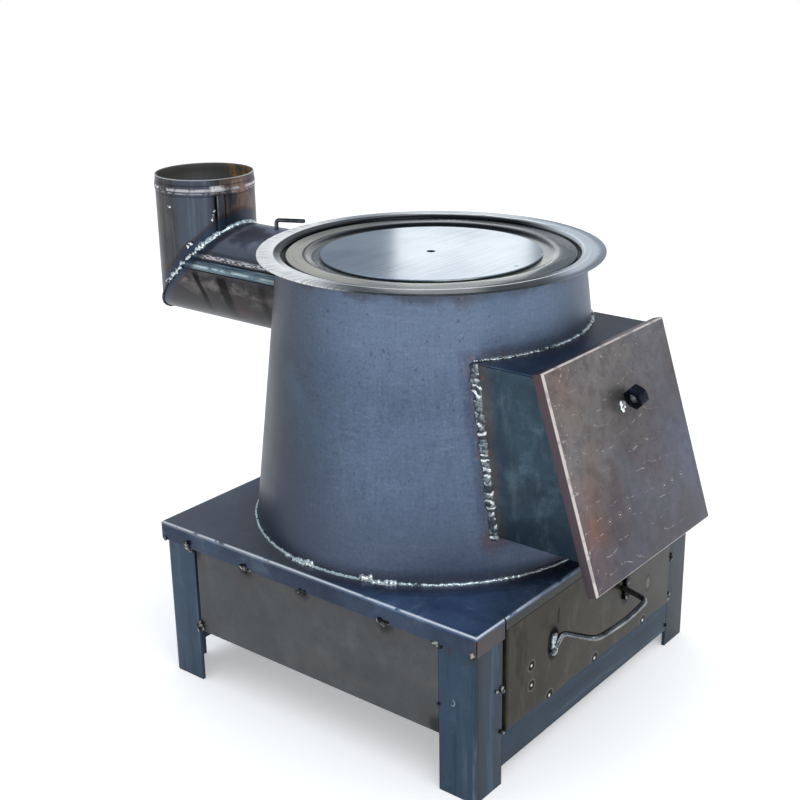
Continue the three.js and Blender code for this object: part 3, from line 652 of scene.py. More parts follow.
def scratched_rows(f, x, up):
    """Short scratches in loose, nearly level rows, each with a hook where the tool bit first."""
    row_height, stroke_length = 0.021, 0.031
    across = up - x * 0.05 + (f.noise(11, 2, 0.5) - 0.5) * 0.05
    row = f.sum("FLOOR", across / row_height)
    shift = f.drawn(row * 7.3, 2, 0, 1, 0.5) * 0.2
    place = (x + shift) / stroke_length
    stroke = f.sum("FRACT", place)
    which = f.sum("FLOOR", place)
    lift = f.drawn(which * 3.7, row * 5.9, 4, 1, 0.5)
    off_row = across - (row + 0.1 + lift * 0.8) * row_height
    hook = stroke.step(0.16, 0.04)
    wobble = (f.noise(70, 2) - 0.5) * 0.004
    line = abs(off_row + stroke * 0.0012 - hook * 0.0018 + wobble).fall(0.0002, 0.0009)
    line = line * stroke.step(0.95, 0.6) * f.noise(150).step(0.42, 0.6)
    kept = f.drawn(which * 5.1, row * 9.7, 8, 1, 0.5)
    return line * kept.step(0.44, 0.52)


def spot_welds(f, spots, size, dark=1):
    """Round electrode dents: a faint rim, a dark hollow and a bright dot."""
    rims, rings, dots = [], [], []
    size = size * MM
    for spot in spots:
        away = f.far(spot)
        rims.append(away.band(size * 1.04, 0.3 * MM, 0.9 * MM))
        rings.append(away.band(size * 0.58, size * 0.16, size * 0.16))
        dots.append(away.fall(size * 0.14, size * 0.32))
    rim, ring, dot = f.greatest(*rims), f.greatest(*rings), f.greatest(*dots)
    f.paint("8a847b", rim * 0.3)
    f.blacken(ring * 0.9 * dark)
    f.paint("f2efea", dot * 0.95)
    f.height = f.height + rim * 0.6 - ring * 0.9 + dot * 0.5


def drawer_marks(f):
    """Spot welds in two sizes, sooty halos round the handle's feet, an oval ring and a scar."""
    x, _, z = f.axes()
    f.paint("3a3d44", z.fall(0.062, 0.075) * 0.4)
    streak = f.noise(26, 4, 0.6, scale=(2.2, 1, 0.8))
    f.paint("605b52", streak.step(0.52, 0.7) * 0.3)
    f.paint("1b1a18", x.step(-0.06, 0.12) * 0.45)
    small, large = ((-124.7, 116), (-124, 93)), ((-89.6, 64), (1, 65.4), (107.5, 64.7))
    for size, row in ((6.3, small), (7.2, large)):
        spot_welds(f, [at(a, -PLATE_HALF, b) for a, b in row], size)
    for foot in HANDLE_FEET:
        halo = distance((x - foot * MM) / 0.0095, (z - 0.123) / 0.0175)
        f.blacken(halo.fall(0.95, 1.25) * 0.95)
    oval = distance((x - 0.116) / 0.0065, (z - 0.109) / 0.0105)
    f.blacken(oval.band(0.95, 0.07, 0.15) * 0.7)
    f.paint("8d877c", oval.band(0.35, 0.12, 0.2) * 0.35)
    scar = abs(x + 0.0755 + (f.noise(60, 2) - 0.5) * 0.006).fall(0.0007, 0.0026)
    f.blacken(scar * z.band(0.151, 0.007, 0.004) * 0.9)
    smudge = f.drawn(x * 42, z * 11, 3).step(0.52, 0.62) * x.step(-0.09, -0.13)
    f.blacken(smudge * 0.35)


def leg_marks(f):
    """Rolling streaks up the leg, a browned end under the skirts and a lighter outer corner."""
    x, y, z = f.axes()
    streak = f.noise(1, 4, 0.6, scale=(70, 70, 5))
    f.paint("1a2836", streak.step(0.46, 0.32) * 0.55)
    f.paint("57707f", streak.step(0.54, 0.7) * 0.35)
    front_face = y.step(-0.2745, -0.2765)
    f.paint("3a3a3d", front_face * streak.step(0.6, 0.45) * x.step(0.1, 0) * 0.6)
    f.paint("1b262c", front_face * x.step(0, 0.1) * 0.8)
    brown = z.step(0.15, 0.172) * f.noise(40).step(0.36, 0.56)
    f.paint("3a2e2b", brown * 0.7)
    # Lighter along the outer corner.
    corner = (abs(x) + abs(y - AXIS_Y * MM)).step(0.4285, 0.4297)
    f.paint("8c8f94", corner * streak.step(0.4, 0.55) * 0.45)
    hook_at = at(-216.7, -188, 107)
    middle = hook_at.y + hook_at.z * 0.3
    hook = f.far(hook_at).band(0.0032, 0.0004, 0.0006)
    f.paint("8fb0b0", hook * (y + z * 0.3).step(middle + 0.0006, middle - 0.0006) * 0.55)


def rail_marks(f):
    streak = f.noise(1, 4, 0.6, scale=(5, 70, 70))
    f.paint("1b2836", streak.step(0.46, 0.32) * 0.5)
    f.paint("546c7c", streak.step(0.54, 0.7) * 0.35)


def panel_marks(f):
    """Faint streaks, and brown halos where the panels are tacked."""
    streak = f.noise(1, 4, 0.6, scale=(9, 9, 30))
    f.paint("5a5956", streak.step(0.5, 0.7) * 0.3)
    places = ((91, 167), (8, 167), (-104, 167), (170, 166), (168, 72), (-170, 74))
    spots = [f.far(at(side, along, up)) for side in (-217, 217) for along, up in places]
    near = f.least(*spots) + (f.noise(60, 4, 0.6) - 0.5) * 0.012
    f.blacken(near.fall(0.005, 0.015) * 0.65, "1c1614")
    f.paint("4a3c34", near.band(0.018, 0.003, 0.008) * 0.2)


def chute_marks(f):
    """Upright streaks, and heat, a sallow film and rust beside the weld to the body."""
    x, y, z = f.from_axis()
    streak = f.noise(26, 5, 0.65, scale=(1, 2.4, 0.7))
    f.paint("5b6a70", streak.step(0.5, 0.68) * 0.45)
    from_body = distance(x, y) - (BODY_FOOT * MM - (z - PLATE_TOP * MM) * BODY_TAPER)
    side = abs(x).step(0.1085, 0.1095)
    sallow = abs(from_body).step(0.02, 0.004) * side * f.noise(35, 4, 0.6).step(0.36, 0.66)
    heat_tint(f, abs(from_body), 0.018, 0.7)
    f.paint("68685a", sallow * 0.4)
    rust(f, from_body.fall(0.006, 0.012) * side * 0.9, 230)


def roof_marks(f):
    """The chute's roof: blue where it was heated, grey and dull beyond."""
    chute_marks(f)
    x, y, _ = f.from_axis()
    grey = (x + (f.noise(9, 4, 0.6) - 0.5) * 0.12 - (y + 0.17) * 0.4).step(-0.01, 0.06)
    f.paint("5c5a5a", grey * 0.75)


def mitre_tint(f, y, z):
    """Blue and brown bands on both sides of the elbow's weld; y is from the body's axis."""
    from_seam = abs(y + z - (RISER_AXIS + FLUE_AXIS) * MM) * math.sqrt(0.5)
    reach = from_seam + (f.noise(45, 3, 0.5) - 0.5) * 0.008
    f.paint("26364a", reach.band(0.0055, 0.0035, 0.003) * 0.85)
    f.paint("3a2b29", reach.band(0.0115, 0.0008, 0.002) * 0.6)


def pipe_marks(f):
    """The level pipe: drawn streaks, smears of handling, painted light on top and shade below, and the
    lock seam along its side.
    """
    x, y, z = f.from_axis()
    angle = f.sum("ARCTAN2", z - FLUE_AXIS * MM, x) * DEGREES
    angle = angle + f.sum("LESS_THAN", angle, 0) * 360
    streak = f.drawn(angle * 0.35, y * 9, 0)
    f.paint("8b8f98", streak.step(0.5, 0.72) * 0.45)
    # Painted light: the pipe's top is lighter.
    top = angle.step(160, 120) * angle.step(20, 60)
    f.paint("9398a6", top * 0.9)
    oily = f.drawn(angle * 0.03, y * 26, 3, 4, 0.55)
    f.paint("383c48", top * oily.step(0.47, 0.62) * 0.7)
    # Painted shade: the side below the seam, darker towards the underside.
    side = angle.step(168, 176) * angle.step(300, 240)
    f.paint(f.mix("322e2c", "161413", angle.step(185, 225)), side * 0.85)
    worn = f.drawn(angle * 0.05, y * 22, 7).step(0.46, 0.62)
    f.paint("8d8683", side * worn * angle.step(210, 174) * 0.55)
    down = angle.step(172, 200)
    sway = (f.noise(24, 3, 0.5) - 0.5) * 0.016
    first = abs(y - 0.313 + down * 0.016 + sway).fall(0.003, 0.0075)
    second = abs(y - 0.268 + down * 0.009 + sway).fall(0.0035, 0.009)
    third = abs(y - 0.222 + angle * 0.00012 + sway).fall(0.002, 0.008)
    smears = f.greatest(first, second * 0.9, third * 0.5) * angle.step(245, 226)
    # The smears, with painted shade on the underside.
    f.blacken(side * f.greatest(smears * 0.9, angle.step(195, 240) * 0.55))
    red = f.far(at(-52, 238, 395))
    red = red.fall(0.004, 0.022) * f.noise(260, 4, 0.75).step(0.46, 0.6)
    f.paint("4e2622", red * 0.75)
    seam = angle.band(163, 5.2, 0.5)
    lines = f.drawn(angle * 1.6, y * 14, 5, 3, 0.6)
    folded = f.mix("4b6072", "b9d3de", lines.step(0.46, 0.62))
    f.paint(folded, seam * 0.85)
    gleam = angle.band(164.5, 0.8, 0.9) * f.drawn(y * 45, 3, 0, 3, 0.6).step(0.4, 0.54)
    f.paint("cfe4e8", gleam * 0.85)
    # The ridge above the seam: worn bright metal with a painted highlight along it.
    highlight_breakup = f.drawn(y * 160, angle * 0.55, 0, 5, 0.75)
    ridge = angle.band(152.5, 1, 2.6) * highlight_breakup.step(0.44, 0.56)
    f.whiten(ridge * 0.9, "f0eaec")
    groove = f.greatest(angle.band(157.2, 0.4, 0.5), angle.band(169.2, 0.4, 0.6))
    f.paint("15161a", groove * 0.9)
    mitre_tint(f, y, z)
    f.paint("2b2423", y.fall(0.185, 0.205) * 0.4)
    f.roughness = f.roughness - seam * 0.12 - ridge * 0.15
    f.height = f.height + ridge * 1.5 - groove * 1.5


def riser_marks(f):
    """The riser: upright streaks, painted dark reflections down both flanks, a copper side, painted
    highlights and shade along the bead, and the lock seam.
    """
    x, y, z = f.from_axis()
    behind = y - RISER_AXIS * MM
    turn = f.sum("ARCTAN2", behind, x) * DEGREES
    radius = distance(x, behind)
    level = z - RISER_BEAD * MM
    streak = f.drawn(turn * 0.22, z * 7, 0)
    f.paint("7b828c", streak.step(0.5, 0.72) * 0.4)
    f.paint("1d1d21", streak.step(0.42, 0.3) * 0.45)
    f.paint("566275", turn.band(-148, 14, 16) * 0.5)
    # Painted dark reflections down both flanks.
    edge = f.greatest(turn.band(165, 4, 6), turn.band(-53, 6, 8))
    f.blacken(edge * 0.5, "2a201c")
    # A painted pinkish highlight just above the bead on the copper side.
    pink_highlight = turn.band(-91, 6, 10) * level.band(0.003, 0.005, 0.005)
    f.paint("cbb2a8", pink_highlight * streak.step(0.4, 0.55) * 0.7)
    copper = turn.band(-90, 20, 10)
    patchy = f.drawn(turn * 0.05, z * 30, 4).step(0.38, 0.58)
    f.paint("7c6254", copper * patchy * 0.72)
    highlight_breakup = f.drawn(turn * 0.12, z * 90, 2, 3, 0.6)
    wall = 0.05975 + level.band(0, 0.0015, 0.0045) * 0.0012 - z.step(0.534, 0.537) * 0.0005
    inside = (radius - wall).fall(-0.0002, 0.0002)
    outer = 1 - inside
    # Painted highlights: a line along the bead's crest and a fainter one just below it.
    crest = level.band(0.001, 0.001, 0.0012) * highlight_breakup.step(0.38, 0.54) * outer
    second = level.band(-0.003, 0.0003, 0.0009) * highlight_breakup.step(0.46, 0.58) * outer
    f.paint("d2ced0", f.greatest(crest * 0.75, second * 0.5))
    # Painted shade in the creases just below and above the bead.
    under = f.greatest(level.band(-0.0065, 0.0004, 0.001), level.band(0.0062, 0.0003, 0.0008))
    f.paint("1c1b1f", under * outer * 0.55)
    seam = z.fall(0.52, 0.523)
    f.paint("4d545f", turn.band(-117.5, 5, 0.5) * seam * 0.7)
    groove = f.greatest(turn.band(-122.6, 0.8, 0.8), turn.band(-111.6, 0.6, 0.7)) * seam
    f.blacken(groove * 0.95)
    glint = turn.band(-120.4, 0.3, 0.6) * f.drawn(z * 50, 0, 6, 2, 0.5).step(0.4, 0.55)
    f.paint("b5babd", glint * seam * 0.45)
    beaten = f.drawn(turn * 0.25, z * 420, 1, 4, 0.65).step(0.34, 0.46)
    rough_end = turn.band(-120, 5, 5) * level.band(0.0022, 0.002, 0.0025) * beaten
    f.paint("eeecea", rough_end * outer * 0.85)
    mitre_tint(f, y, z)
    f.paint("8b8a84", inside * 0.85)
    across = front_right(x, behind)
    f.paint("4c6587", inside * z.step(0.53, 0.505) * across.step(0.02, -0.02) * 0.8)
    glow = inside * across.step(0.014, 0.03) * z.step(0.505, 0.525)
    f.whiten(glow * f.noise(120, 5, 0.75).step(0.46, 0.56) * 0.8, "b98236")
    f.paint("c9cbcb", z.step(0.5398, 0.5408) * 0.85)
    f.roughness -= crest * 0.12
    f.height = f.height + crest * 0.6 - groove * 1.5


def round_steel(f):
    """x, y and z, distance from the body's axis, angle about it, and fine circles round it."""
    x, y, z = f.from_axis()
    radius = distance(x, y)
    angle = f.sum("ARCTAN2", y, x)
    circles = f.drawn(radius * 1100, angle * 1.5, z * 200, 3, 0.6)
    return x, y, z, radius, angle, circles


def rolled_flange():
    """Rolled steel, ground bare on one side of the top, where the wheel ran across the rim."""
    f = Finish("flange_steel")
    x, y, z, radius, angle, circles = round_steel(f)
    clouds = f.noise(14, 4, 0.6)
    top = z.step(0.4915, 0.4932)
    wheel = f.drawn(angle * 52, radius * 16, 0, 3, 0.6)
    left = rear_left(x, y).step(0.07, 0.14) * top
    right = front_right(x, y).step(0.1, 0.15)
    front = rear_right(x, y).step(0.02, -0.09)
    f.colour = f.mix("a5adb0", "c3cacc", (clouds * 0.6 + circles * 0.4).step(0.38, 0.62))
    dull = f.mix("2f3434", "4c5152", (clouds * 0.5 + circles * 0.5).step(0.4, 0.6))
    dull = f.mix(dull, "b9bebe", circles.step(0.6, 0.7) * 0.45)
    f.paint(dull, front)
    outer = (radius + (clouds - 0.5) * 0.012).step(0.1775, 0.1845)
    f.paint(f.mix("dfe6ec", "8b96a2", outer), right * 0.75)
    scored = wheel.step(0.5, 0.6) * radius.step(0.17, 0.184)
    ground = f.mix("fffffb", "5f6668", scored * 0.62)
    ground = f.mix(ground, "b4bbbb", clouds.step(0.5, 0.64) * 0.3)
    f.paint(ground, left)
    # Painted shade: a near-black band along the inner edge at the back.
    reach = 0.17 + rear_right(x, y).step(0.04, 0.15) * 0.005
    rolled = (radius - reach).step(0.0012, -0.0008) * angle.step(2.9, 2.2) * angle.step(-0.6, 0)
    f.paint("08090b", rolled * 0.96)
    # Painted shade on the inner wall below the top.
    wall = z.fall(0.4902, 0.4926) * radius.step(0.168, 0.166)
    f.paint("121416", wall * 0.92)
    # A painted highlight: a white arc near the inner edge on the right.
    highlight_radius = 0.1725 + (f.noise(30) - 0.5) * 0.008
    f.paint("f4f8fa", radius.band(highlight_radius, 0.0012, 0.0015) * angle.band(0.25, 0.42, 0.2) * top)
    dark_front = front * front_right(x, y).step(0.03, 0.065)
    shine = radius.band(0.1712, 0.0005, 0.0008) * front * top
    f.paint("f4f8fa", shine * 0.8)
    roughness = 0.27 + left * 0.22 + (circles - 0.5) * 0.12 + (clouds - 0.5) * 0.1
    roughness = roughness + dark_front * (1 - shine) * 0.28
    height = circles * 0.25 * (1 - right * 0.6) + wheel * left * 0.8
    metallic = 0.95 - left * 0.75 - right * 0.6
    return f.done(roughness, metallic, height, 0.00008, 0.6)


def spun_ring():
    """A spun ring: fine circles, a bright lip, and painted shade on the step down to the lid, near
    black across the back.
    """
    f = Finish("ring_steel")
    x, y, _, radius, _, circles = round_steel(f)
    clouds = f.noise(16, 4, 0.6)
    left = rear_left(x, y).step(0, 0.12)
    back = rear_right(x, y).step(0.02, 0.09)
    flat = radius.band(0.1478, 0.0082, 0.0012)
    slope = radius.band(0.1335, 0.0045, 0.0022)
    f.colour = f.mix("8b8d88", "a9aaa3", (clouds * 0.5 + circles * 0.5).step(0.38, 0.62))
    f.paint("d8d3c3", flat * left * 0.9)
    # Painted shade on the slope down to the lid, deepest at the left.
    f.paint("3a352f", slope * left * 0.85)
    f.paint("6f7674", slope * (1 - left) * 0.3)
    # Painted shade: the slope and the lip at the back are near black.
    f.paint("08090a", f.greatest(slope, flat * 0.5) * back)
    f.paint("5e5f5c", circles.step(0.56, 0.7) * 0.55)
    roughness = 0.22 + flat * left * 0.2 + (circles - 0.5) * 0.15
    return f.done(roughness, 0.95 - flat * left * 0.4, circles, 0.00005, 0.5)


def brushed_lid():
    """Polished steel with fine lines in two directions."""
    f = Finish("lid_steel")
    drawn = f.noise(1, 3, 0.6, turn=(0, 0, 0.9), scale=(14, 900, 25))
    crossing = f.noise(1, 2, 0.5, turn=(0, 0, -0.67), scale=(10, 500, 25))
    drawn = drawn * 0.6 + crossing * 0.4
    clouds = f.noise(7, 3, 0.5)
    f.colour = f.mix("b4bcc4", "e2e8ea", (clouds * 0.6 + drawn * 0.4).step(0.36, 0.62))
    stain = f.noise(20, 5, 0.7, offset=(0, 0, 3)).step(0.6, 0.75)
    f.paint("9aa5b0", stain * 0.2)
    return f.done(0.16 + (drawn - 0.5) * 0.08 + stain * 0.05, 1, drawn, 0.00001, 0.3)


def weld_metal(name, pale, dark, share):
    """Fresh weld metal: paler where the lumps stand high, darker where they sink, and straw heat
    colours.
    """
    f = Finish(name)
    lumps = f.noise(210)
    patches = f.noise(45, 4, 0.6, offset=(1, 1, 0))
    bright = (lumps * 0.55 + patches * 0.45).step(0.5 - 0.1 * share, 0.6 - 0.1 * share)
    f.colour = f.mix(dark, pale, bright)
    f.paint("7d6a4e", patches.step(0.58, 0.7) * 0.3)
    roughness = 0.42 - bright * 0.2
    return f.done(roughness, 0.8, lumps, 0.0003, 0.6)


def upright_weld():
    """The chute's upright welds: overlapping coins with painted highlights on their rims, painted shade
    in the hollows and dark outlines.
    """
    f = Finish("weld_upright")
    x, _, z = f.axes()
    lumps = f.noise(150)
    off = abs(x) - (CHUTE_HALF + 2) * MM
    drift = f.noise(45, 2, 0.5, offset=(0, 0, 7)) * 0.03
    coin = f.sum("FRACT", (z - off * off * 110 + drift + (lumps - 0.5) * 0.006) / 0.0078)
    # Painted highlights on the coins' rims, painted shade in the hollows between them.
    rim = coin.step(0.5, 0.68) * coin.step(0.98, 0.86)
    hollow = coin.step(0.22, 0.04)
    patches = f.noise(60, 3, 0.55, offset=(1, 1, 0))
    f.colour = f.mix("464e57", "8d979c", lumps.step(0.42, 0.6))
    f.paint("f4f8f8", rim * patches.step(0.4, 0.52))
    f.paint("242a30", hollow * 0.6)
    fine = f.noise(620, 3, 0.65)
    f.paint("343c44", fine.step(0.5, 0.62) * 0.55)
    f.paint("1a1818", abs(off).step(0.0042, 0.0054))
    rust(f, abs(off).step(0.0045, 0.006), 260)
    height = rim * 0.6 - hollow * 0.4 + lumps * 0.3 + fine * 0.4
    return f.done(0.46 - rim * 0.16, 0.7, height, 0.0003, 0.7)


def plain_steel(name, deep, pale, rough):
    f = Finish(name)
    clouds = f.noise(45, 4, 0.6)
    grain = f.noise(600, 2, 0.5)
    f.colour = f.mix(deep, pale, (clouds * 0.6 + grain * 0.4).step(0.36, 0.64))
    return f.done(rough + (clouds - 0.5) * 0.2, 0.9, grain, 0.00006, 0.5)


def cast_grate():
    f = Finish("grate_iron")
    pits = f.noise(700, 4, 0.6)
    ash = f.noise(30, 4).step(0.5, 0.7)
    f.colour = f.mix("2b2c2e", "45464a", pits.step(0.35, 0.65))
    f.paint("77736d", ash * 0.3)
    return f.done(0.75, 0.5, pits, 0.0005, 0.8)


# The stove's own pieces


def dress_base():
    plate = mill_scale("plate_steel", "415577", "6680a4", "a6bdd4", 0.75, 0.36, plate_marks)
    leg = mill_scale("leg_steel", "203345", "304659", "5a707f", 0.7, 0.42, leg_marks, contrast=0.4)
    rail = mill_scale("rail_steel", "1c2c3b", "283c4e", "4f6271", 0.7, 0.42, rail_marks, (2, 0, 1), 0.4)
    panel = mill_scale(
        "panel_steel", "3a3c3f", "505253", "696a6a", 0.6, 0.46, panel_marks, contrast=0.75,
    )
    refined("top_plate", "stove", plate)
    for corner in ("front_left", "front_right", "rear_left", "rear_right"):
        refined("leg_" + corner, "stove", leg)
    for node in ("front_rail", "rear_rail", "drawer_runner_left", "drawer_runner_right"):
        refined(node, "stove", rail)
    for node in ("side_panel_left", "side_panel_right", "rear_panel"):
        refined(node, "stove", panel)
    refined("fire_grate", "stove", cast_grate(), rounding=0.8)


def dress_body():
    body = mill_scale("body_steel", "475469", "62738c", "7d8ba1", 0.7, 0.42, body_marks, contrast=0.45)
    refined("body_shell", "stove", body)
    refined("top_flange", "stove", rolled_flange(), rounding=0.3)
    refined("reducing_ring", "ring", spun_ring(), rounding=0.3)
    refined("lid_disc", "lid", brushed_lid(), crease=9, rounding=0.25)


def dress_flue(dark):
    inlet = mill_scale("inlet_steel", "303339", "484b51", "717174", 0.7, 0.4, pipe_marks)
    riser = mill_scale("riser_steel", "303134", "474647", "6d6a68", 0.7, 0.4, riser_marks, (0, 0, 5))
    refined("flue_inlet_pipe", "stove", inlet, rounding=0.25)
    refined("flue_riser_pipe", "stove", riser, rounding=0.25)
    spindle = plain_steel("spindle_steel", "26282b", "6a6e72", 0.28)
    refined("damper_spindle", "damper", spindle, rounding=0.3, slot="rod_steel")
    for node in ("damper_plate", "damper_saddle_upper", "damper_saddle_lower"):
        refined(node, "damper", dark, rounding=0.2)


def dress_chute_and_door(dark, rod):
    chute = mill_scale("chute_steel", "223440", "384c5a", "627c8c", 0.65, 0.42, chute_marks)
    roof = mill_scale("roof_steel", "26354e", "394b6a", "6d83a3", 0.7, 0.36, roof_marks, (1, 2, 0))
    door = mill_scale("door_steel", "484144", "645e63", "857e80", 0.65, 0.4, door_marks)
    refined("chute_trough", "stove", chute)
    refined("chute_roof", "stove", roof)
    refined("door_pan", "feed_door", door, rounding=0.4)
    refined("door_pull_nut", "feed_door", dark, rounding=0.3)
    for side in ("left", "right"):
        refined("hinge_chute_leaf_" + side, "stove", dark, rounding=0.2)
        refined("hinge_pin_" + side, "stove", rod, rounding=0.2)
        refined("hinge_door_leaf_" + side, "feed_door", dark, rounding=0.2)


def dress_drawer(rod):
    front = mill_scale("drawer_steel", "2a261e", "3d392c", "534c3c", 0.6, 0.42, drawer_marks)
    tray = mill_scale("tray_steel", "55585a", "77797b", "94959a", 0.6, 0.45)
    refined("drawer_front", "ash_drawer", front, rounding=0.4)
    refined("ash_tray", "ash_drawer", tray)
    refined("drawer_handle", "ash_drawer", rod, rounding=0.3)


def chute_outline(side):
    """Where one side of the feed chute meets the body, from the floor up."""
    for z in evenly(CHUTE_FLOOR, CHUTE_TOP, 24):
        y = -math.sqrt(body_radius(z) ** 2 - CHUTE_HALF ** 2)
        yield at((CHUTE_HALF + 1) * side, y - 1, z), Vector((side * 0.8, -0.6, 0.1))


def level_outline(z, lift, outward):
    """Where the chute's roof or floor meets the body; lift is how far off that the weld lies."""
    for x in evenly(-CHUTE_HALF, CHUTE_HALF, 24):
        y = -math.sqrt(body_radius(z) ** 2 - x ** 2)
        yield at(x, y - 0.8, z + lift), Vector((0, *outward))


def on_mitre(across, up, out):
    """A point of the elbow's seam, which lies in the plane that halves the corner."""
    radius = FLUE_RADIUS + out
    return at(radius * across, RISER_AXIS - radius * up, FLUE_AXIS + radius * up)


def mitre_path(start, end):
    """The elbow's seam between two angles; 90 degrees is its top."""
    for across, up in directions(evenly(start, end, 48)):
        yield on_mitre(across, up, 0.6), Vector((across, -up * 0.5, up * 0.5))


def inlet_path():
    """Where the flue leaves the body."""
    for across, up in directions(evenly(0, 360, 48)):
        x = (FLUE_RADIUS + 0.8) * across
        z = FLUE_AXIS + (FLUE_RADIUS + 0.8) * up
        y = math.sqrt(body_radius(z) ** 2 - x ** 2) + 0.8
        yield at(x, y, z), Vector((across, 0.7, up))


def lay_welds():
    """The long seams. A habit is a bead's pitch, wander, flatness and grain."""
    silver = weld_metal("weld_silver", "e6eeee", "30343a", 0.9)
    thin = weld_metal("weld_thin", "deecee", "56626a", 1.5)
    upright = upright_weld()
    sooty = weld_metal("weld_sooty", "8f9698", "26282c", 0.1)
    navy = weld_metal("weld_navy", "3f4f63", "1c2430", 0)
    foot = ring_path(BODY_FOOT + 1, PLATE_TOP + 1, 240)
    roof = level_outline(CHUTE_TOP, 1, (-0.4, 1))
    floor = level_outline(CHUTE_FLOOR, -1.2, (-0.4, -1))
    coins = (0.4, 0.03, 0.48, 0.8)
    welds = [
        ("body_foot", foot, 4.8, "body_steel", thin, 11, (0.4, 0.06, 0.7, 0.7)),
        ("chute_left", chute_outline(-1), 12.5, "body_steel", upright, 19, coins),
        ("chute_right", chute_outline(1), 12.5, "body_steel", upright, 21, coins),
        ("chute_roof", roof, 5.2, "body_steel", silver, 31, (0.5, 0.07, 0.6, 0.7)),
        ("chute_floor", floor, 5, "body_steel", sooty, 32, (0.55, 0.06, 0.8, 0.9)),
        ("mitre_upper", mitre_path(18, 142), 8, "inlet_steel", thin, 41, (0.3, 0.02, 0.6, 0.7)),
        ("mitre_side", mitre_path(144, 192), 6.5, "inlet_steel", silver, 42, (0.6, 0.2, 0.85, 0.6)),
        ("mitre_lower", mitre_path(192, 378), 4, "inlet_steel", navy, 43, (0.35, 0.04, 0.5, 0.7)),
        ("flue_body", inlet_path(), 5.5, "inlet_steel", sooty, 44, (0.55, 0.12, 0.8, 0.9)),
    ]
    for name, path, width, slot, metal, seed, habit in welds:
        bead("weld_" + name, path, width, "stove", slot, metal, seed, *habit)


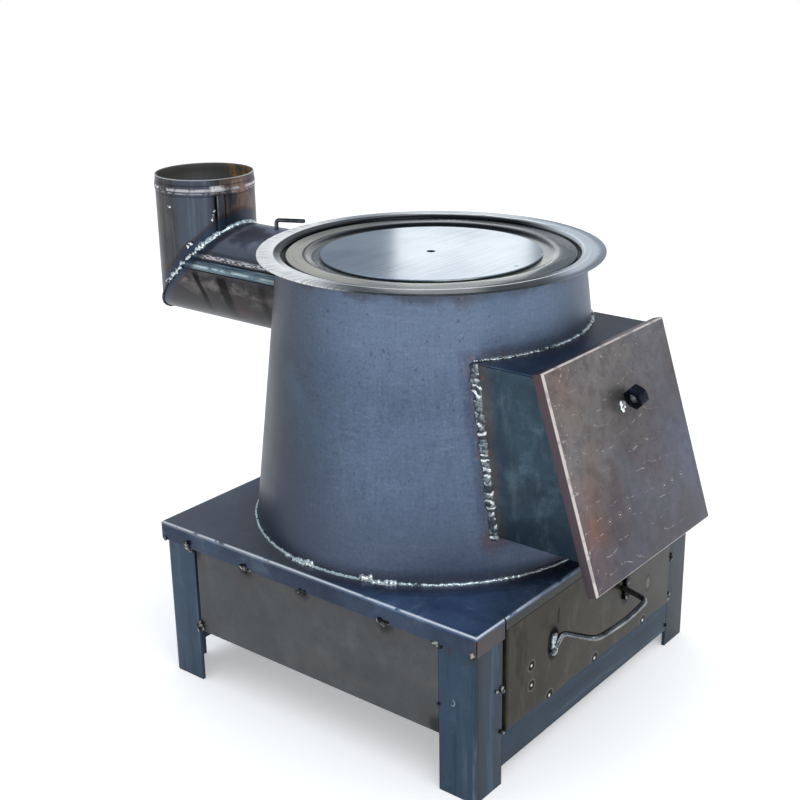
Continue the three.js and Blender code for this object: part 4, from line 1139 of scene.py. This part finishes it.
def lay_tacks():
    """The short welds: tacks, lumps in the foot's seam, spatter, and the handle's and nut's."""
    silver = weld_metal("tack_silver", "e9efef", "50545a", 1.2)
    sooty = weld_metal("tack_sooty", "9b9a96", "232223", 0.1)
    base = []
    for side in (-1, 1):
        for y in (177, 91, 8, -104, -170):
            base.append((at(side * 218, y, 167.4), (side, 0, -0.6), 10, (1, 1), 7))
        base.append((at(side * 217.5, 168.5, 72), (side, 0, 0), 9, (1, 0.8), 6))
        base.append((at(side * 217.2, -171.5, 100), (side, 0, 0), 5, (0.6, 1), 4))
    for x in (-120, -10, 110):
        base.append((at(x, 218, 167.4), (0, 1, -0.6), 10, (1, 1), 7))
    for x, z, size in (
        (-174.5, 112.7, 7), (-172.5, 61.3, 6.5), (172.5, 117.9, 8), (172, 65.7, 7), (171.6, 28, 5),
    ):
        base.append((at(x, -217.6, z), (0, -1, 0), size, (0.9, 1.1), 5))
    for x, y in ((-1, -1), (1, -1), (1, 1), (-1, 1)):
        base.append((at(x * 217.3, y * 217.3, 169.4), (x, y, -0.2), 8.5, (0.8, 0.8), 6))
    tacks("tacks_base", base, "stove", "plate_steel", sooty, 51)

    under_flange = [
        (at(x * 168.5, y * 168.5, 489.5), (x, y, -0.6), 6, (1, 0.6), 5)
        for x, y in directions((-127, -80, -30, 20, 65, 115, 160, -170))
    ]
    tacks("tacks_flange", under_flange, "stove", "body_steel", sooty, 52)

    habit = (0.5, 0.15, 0.7, 0.7)
    for k, (start, end, width) in enumerate((
        (167, 168.5, 6.5), (171.5, 178.5, 10.5), (196.5, 207.5, 9.2), (298, 303, 7.5), (36, 43, 8),
    )):
        path = ring_path(BODY_FOOT + 1.6, PLATE_TOP + 1.4, 30, start, end)
        bead("lumps_foot_%d" % k, path, width, "stove", "body_steel", silver, 60 + k, *habit)

    blob = on_mitre(*directions([141])[0], 1.5)
    drop = ((1, 1), 5)
    spatter = [
        (at(-60, 347, 508), (-1, -0.4, 0), 4.5, *drop),
        (at(-36, 299, 498), (-0.6, -0.8, 0), 4.5, *drop),
        (at(-37.5, 299, 493), (-0.6, -0.8, 0), 3.5, *drop),
        (at(-34.5, 298, 503), (-0.6, -0.8, 0), 3, *drop),
        (blob, (-0.7, -0.5, 0.5), 13, (0.15, 0.15), 6),
        (at(-55.5, 320, 465), (-0.9, -0.4, 0), 4.2, *drop),
        (at(-57, 324, 461), (-0.9, -0.4, 0), 3.2, *drop),
    ]
    tacks("spatter_riser", spatter, "stove", "riser_steel", silver, 53)

    smooth = weld_metal("weld_smooth", "c6cfd3", "596165", 1)
    habit = (0.22, 0.03, 0.62, 0.6)
    for x, side, metal in zip(HANDLE_FEET, ("left", "right"), (smooth, sooty)):
        path = [(at(x, -221, z), Vector((0, -1, 0))) for z in (114, 119, 124, 129, 133.5)]
        bead("weld_handle_" + side, path, 10.5, "ash_drawer", "drawer_steel", metal, 54, *habit)

    bright = weld_metal("weld_bright", "f1f8f6", "7e8586", 1.4)
    pull = [(on_door(1, 160.5, 1), (0, -1, 0.3), 9, (0.9, 0.7), 7)]
    tacks("weld_pull", pull, "feed_door", "door_steel", bright, 55)


def fit_pull_stud(rod):
    """The end of a stud that sits in the door pull's thread, along the nut's leaning axis."""
    bm = bmesh.new()
    lo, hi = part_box("door_pull_nut")
    centre = (lo + hi) / 2
    lean, yaw = math.radians(14.5), math.radians(15)
    across = Vector((1, 0, 0))
    up = Vector((0, math.sin(DOOR_TILT), math.cos(DOOR_TILT)))
    out = Vector((0, -math.cos(DOOR_TILT), math.sin(DOOR_TILT)))
    along = (across * math.cos(lean) + out * math.sin(lean)) * math.cos(yaw) + up * math.sin(yaw)
    along.normalize()
    turn = along.to_track_quat("Z", "Y").to_matrix().to_4x4()
    place = Matrix.Translation(centre - along * 1.5 * MM) @ turn
    radius, length = 5.6 * MM, 6 * MM
    bmesh.ops.create_cone(
        bm, cap_ends=True, segments=32, radius1=radius, radius2=radius, depth=length, matrix=place,
    )
    stud = new_object("door_pull_stud", bm)
    rounded(stud, 0.8)
    settled(stud)
    dress(stud, "feed_door", "rod_steel", rod)


aim_camera()
light_the_world()
hang_lamp("key", (-1, -2.1, 2.2), (0, 0, 0.3), (2, 1.6), 20)
hang_lamp("far_window", (1.238, 0.803, 1.031), (0, -0.06, 0.49), (0.31, 0.9), 0.72)
lay_floor()

dark = plain_steel("dark_steel", "17181d", "34364a", 0.32)
rod = plain_steel("rod_steel", "4e5156", "94989c", 0.2)
dress_base()
dress_body()
dress_flue(dark)
dress_chute_and_door(dark, rod)
dress_drawer(rod)
lay_welds()
lay_tacks()
fit_pull_stud(rod)

scene_settings = bpy.context.scene
scene_settings.view_settings.view_transform = "Standard"
